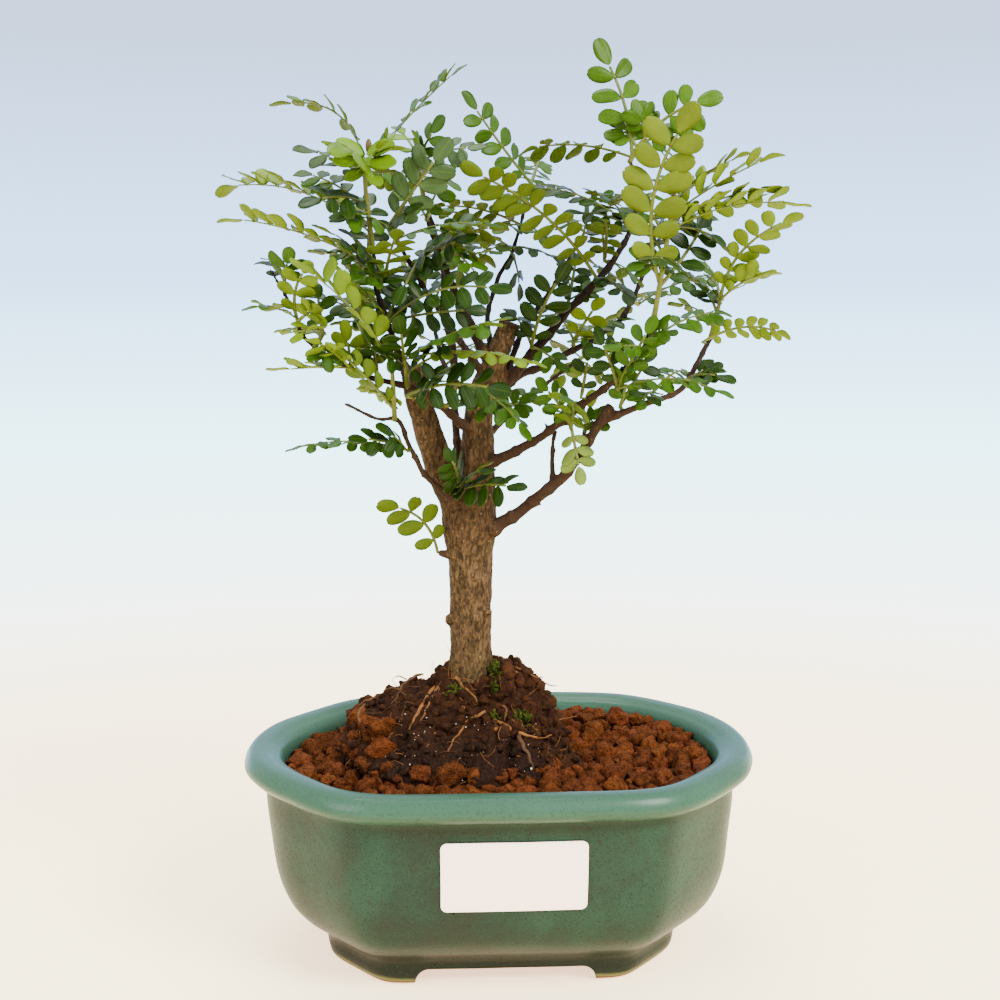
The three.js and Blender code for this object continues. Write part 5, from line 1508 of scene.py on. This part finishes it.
# a leaflet from its joint, along a direction, with its upper side towards up
def addLeaflet(heap, joint, heading, upward, size, tone, draw, width=1.0):
    heading = unit(heading)
    side = unit(np.cross(heading, upward))
    upward = np.cross(side, heading)
    half = 0.5 * leaf["width"] * size * width
    cup, curl = draw.normal(0.10, 0.09), draw.normal(-0.06, 0.07)
    twist = draw.normal(0, 0.12)
    x = bladeP * size
    y = bladeQ * bladeW * half
    z = cup * (np.abs(bladeQ) ** 1.5) * bladeW * half
    z = z + curl * size * bladeP ** 2 + twist * y * bladeP
    z = z + 0.03 * size * np.sin(bladeP * 7 + draw.uniform(0, 6)) * np.abs(bladeQ)
    base = joint + heading * (leaf["stem"] * size)
    skin = base + x[:, None] * heading + y[:, None] * side + z[:, None] * upward
    thick = leaf["thick"] * (0.55 + 0.45 * (1 - np.abs(bladeQ)))
    top, bottom = skin + upward * (thick / 2)[:, None], skin - upward * (thick / 2)[:, None]
    shade = np.array(tone) * draw.uniform(0.84, 1.16)
    marks = np.vstack([np.stack([bladeP, np.abs(bladeQ), np.full(len(bladeP), under)], 1)
                       for under in (0.0, 1.0)])
    heap.add(np.vstack([top, bottom]), bladeSkin + bladeRim, len(bladeSkin),
             tone=np.tile(shade, (2 * len(skin), 1)), blade=marks)


# a frond: its rib from inside the bark, opposite leaflets and one at the tip
def addFrond(heaps, start, root, tip, style, draw, lift=-leaf["fold"]):
    blades, ribs = heaps
    facing, leaflet, arch, sweep, tone = style
    along, across, upward, length = frondAxes(root, tip, facing)

    def at(u):
        bow = 4 * (u / length) * (1 - u / length) * length
        return root + along * u + across * sweep * bow + upward * arch * bow

    stalk = max(leaf["leastStalk"], leaf["stalkShare"] * length)
    leafy = length - stalk - leaf["endRoom"] * leaflet
    pairs = max(2, int(round(leafy / (leaf["spread"] * leaflet))))
    pitch = leafy / pairs
    colour = np.array(paint(*leaf["tones"][tone]))
    stemTone = 0.4 * colour + 0.6 * np.array(paint(*leaf["shoot"]))
    end = length - 0.9 * leaflet
    route = [start] + [at(u) for u in np.linspace(0, end, max(8, int(length / 1.6)))]
    line = smoothLine(np.array(route), 1)
    wide = np.interp(np.linspace(0, 1, len(line)), [0, 0.06, 1], [0.42, 0.36, 0.24])
    rib, faces = tube(line, wide, 6)
    offset = rib[:-2] - np.repeat(line, 6, axis=0)  # wider and flatter than round
    rib[:-2] += (across * (offset @ across)[:, None] * 0.55
                 - upward * (offset @ upward)[:, None] * 0.25)
    ribs.add(rib, faces, tone=stemTone)
    joints = [stalk + k * pitch for k in range(pairs)]
    for k, u in enumerate(joints):
        place = at(u)
        forward = unit(at(u + 0.5) - at(u - 0.5))
        ball, faces = ballMesh(1)
        ribs.add(place + ball * 0.33, faces, tone=np.array(paint(*leaf["joint"])))
        growth = np.interp(k / max(pairs - 1, 1), *zip(*leaf["growth"]))
        for side in (-1, 1):
            size = leaflet * growth * draw.uniform(0.93, 1.07)
            lean, spread = leaf["lean"]
            lean = math.radians(draw.normal(lean + 40 * max(lift, 0), spread))
            way = across * side * math.cos(lean) + forward * math.sin(lean)
            way = way + upward * (lift + draw.normal(0, 0.12) * (1 + 2 * max(lift, 0)))
            tilt = upward + along * draw.normal(0, 0.16) + across * draw.normal(0, 0.12)
            addLeaflet(blades, place, way, tilt, size, colour, draw)
    lastWay = unit(at(end + 1) - at(end - 1)) + upward * draw.normal(-0.08, 0.08)
    addLeaflet(blades, at(end), lastWay, upward, leaflet * 0.98, colour * 1.04, draw, 1.05)


# one spray's leaves and stalks, and how far its worst frond misses its solid
def sprayPiece(index, row, materials):
    draw = np.random.default_rng(4000 + index)
    name = "spray_%02d" % index
    corners = np.array([vertex.co[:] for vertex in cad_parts[name].data.vertices]) / mm
    point, shootEnd, fronds = row
    foot, outward = seatOnWood(np.array(point, float))
    hub = foot + outward * 0.5
    end = np.array(shootEnd, float) if shootEnd else foot + outward * 3.4
    onShoot = shootEnd is not None or len(fronds) > 2
    inside = allCentres[nearestWood([foot])[0], :3]
    heaps = blades, ribs = Heap(), Heap()
    green = np.array(paint(*leaf["shoot"]))
    if onShoot:
        middle = (hub + end) / 2 + outward * 0.05 * np.linalg.norm(end - hub)
        line = smoothLine(np.array([inside, foot, middle, end]), 6)
        ribs.add(*tube(line, np.linspace(0.8, 0.5, len(line)), 9), tone=green * 0.9)
    worst = 0
    for i, (share, aim, facing, leaflet, arch, sweep, tone) in enumerate(fronds):
        step = share if shootEnd else 0.95 - 0.75 * i / len(fronds)
        base = hub + (end - hub) * step if onShoot else hub
        lead = 0 if onShoot else 0.45
        miss, root, tip = frondTip(base, np.array(aim, float), facing, leaflet, lead, corners)
        worst = max(worst, miss)
        start = hub + (end - hub) * max(step - 0.06, 0) if onShoot else inside
        usual = (facing, leaflet, arch, -leaf["fold"])
        facing, leaflet, arch, lift = restyled.get((index, i), usual)
        tone = retoned.get((index, i), tone)
        addFrond(heaps, start, root, tip, (facing, leaflet, arch, sweep, tone), draw, lift)
    for share, tip, *style in fillIns.get(index, []):
        root = hub + (end - hub) * share if onShoot else hub
        start = hub + (end - hub) * (share - 0.06) if onShoot and share > 0.06 else inside
        addFrond(heaps, start, root, np.array(tip, float), style, draw)
    fresh = np.array(paint(*leaf["tones"]["young"])) * 1.1
    for *ways, size in rosette if index == 4 else []:
        joint, heading, upward = np.array(ways)
        addLeaflet(blades, joint, heading, upward, size, fresh, draw, 0.95)
    for place, spray in buds:
        if spray == index:
            ball, faces = ballMesh(2)
            ribs.add(place + ball * (0.8, 0.8, 1.9), faces, tone=np.array(paint(*leaf["bud"])))
    piece = blades.make("Spray%02dLeaves" % index, materials[0])
    settle(piece, "leaf", name)
    settle(ribs.make("Spray%02dStalks" % index, materials[1]), "leaf", name)
    return worst


def sprayPieces():
    materials = leafMaterial(), shootMaterial()
    misses = [sprayPiece(index + 1, row, materials) for index, row in enumerate(sprays)]
    print("sprays made, farthest frond tip from its solid", round(max(misses), 2), "mm")


sprayPieces()


# The floor, the world and the lights

def makeFloor():
    sheet = newSheet("paleFloor")
    point = sheet.place()
    radius = sheet.add("ShaderNodeVectorMath", {"operation": "LENGTH"}, {0: point}, out="Value")
    pale = paint(*studio["floorColour"])
    shade = sheet.mix(sheet.noise(point, 180, 2), pale, tuple(value * 0.95 for value in pale))
    sheet.finish({"Base Color": shade, "Roughness": 0.8, "Specular IOR Level": 0.2,
                  "Emission Color": studio["floorGlow"],
                  "Emission Strength": studio["floorGlowStrength"],
                  "Alpha": 1 - sheet.step(radius, *studio["floorFade"])})
    count = studio["floorCorners"]
    turns = fullTurn(count)
    rim = np.stack([np.cos(turns), np.sin(turns), 0 * turns], 1) * studio["floorRadius"]
    rim = rim - (0, 0, 0.05)  # just under the feet
    floor = makePiece("Floor", rim, [tuple(range(count))], sheet.block)


# bright behind the plant as the camera sees it, softer all round
def makeWorld():
    world = bpy.data.worlds.new("studio")
    bpy.context.scene.world = world
    sheet = Sheet(world)
    way = sheet.add("ShaderNodeTexCoord", out="Generated")
    rise = sheet.part(way, "Z")
    back = sheet.ramp(rise * 0.5 + 0.5, [
        (0.34, paint(246, 240, 234, 3)), (0.40, paint(240, 241, 240, 3)),
        (0.46, paint(232, 240, 242, 3)), (0.52, paint(217, 228, 237, 3)),
        (0.60, paint(204, 211, 222, 3)), (0.72, paint(206, 212, 222, 3))])
    around = sheet.ramp(rise * 0.5 + 0.5, [
        (0.40, paint(222, 219, 216)), (0.52, paint(211, 212, 212)), (0.75, paint(214, 215, 215))])
    behind = sheet.step(sheet.part(way, "Y"), 0.70, 0.86)
    colour = sheet.mix(behind, around, back)
    glow = sheet.add("ShaderNodeBackground", None, {"Color": colour, "Strength": studio["light"]})
    sheet.add("ShaderNodeOutputWorld", None, {"Surface": glow})


def makeLight(name, place, target, size, power, colour):
    data = bpy.data.lights.new(name, "AREA")
    data.shape = "DISK"
    data.size = size
    data.energy = power
    data.color = colour
    light = bpy.data.objects.new(name, data)
    light.location = place
    light.rotation_euler = (Vector(target) - Vector(place)).to_track_quat("-Z", "Y").to_euler()
    bpy.context.scene.collection.objects.link(light)


makeFloor()
makeWorld()
for lightName, lightValues in studio["lights"].items():
    makeLight(lightName, *lightValues)
print("floor, world and lights set")


def corners(box):
    return [[float(value) for value in corner] for corner in box]
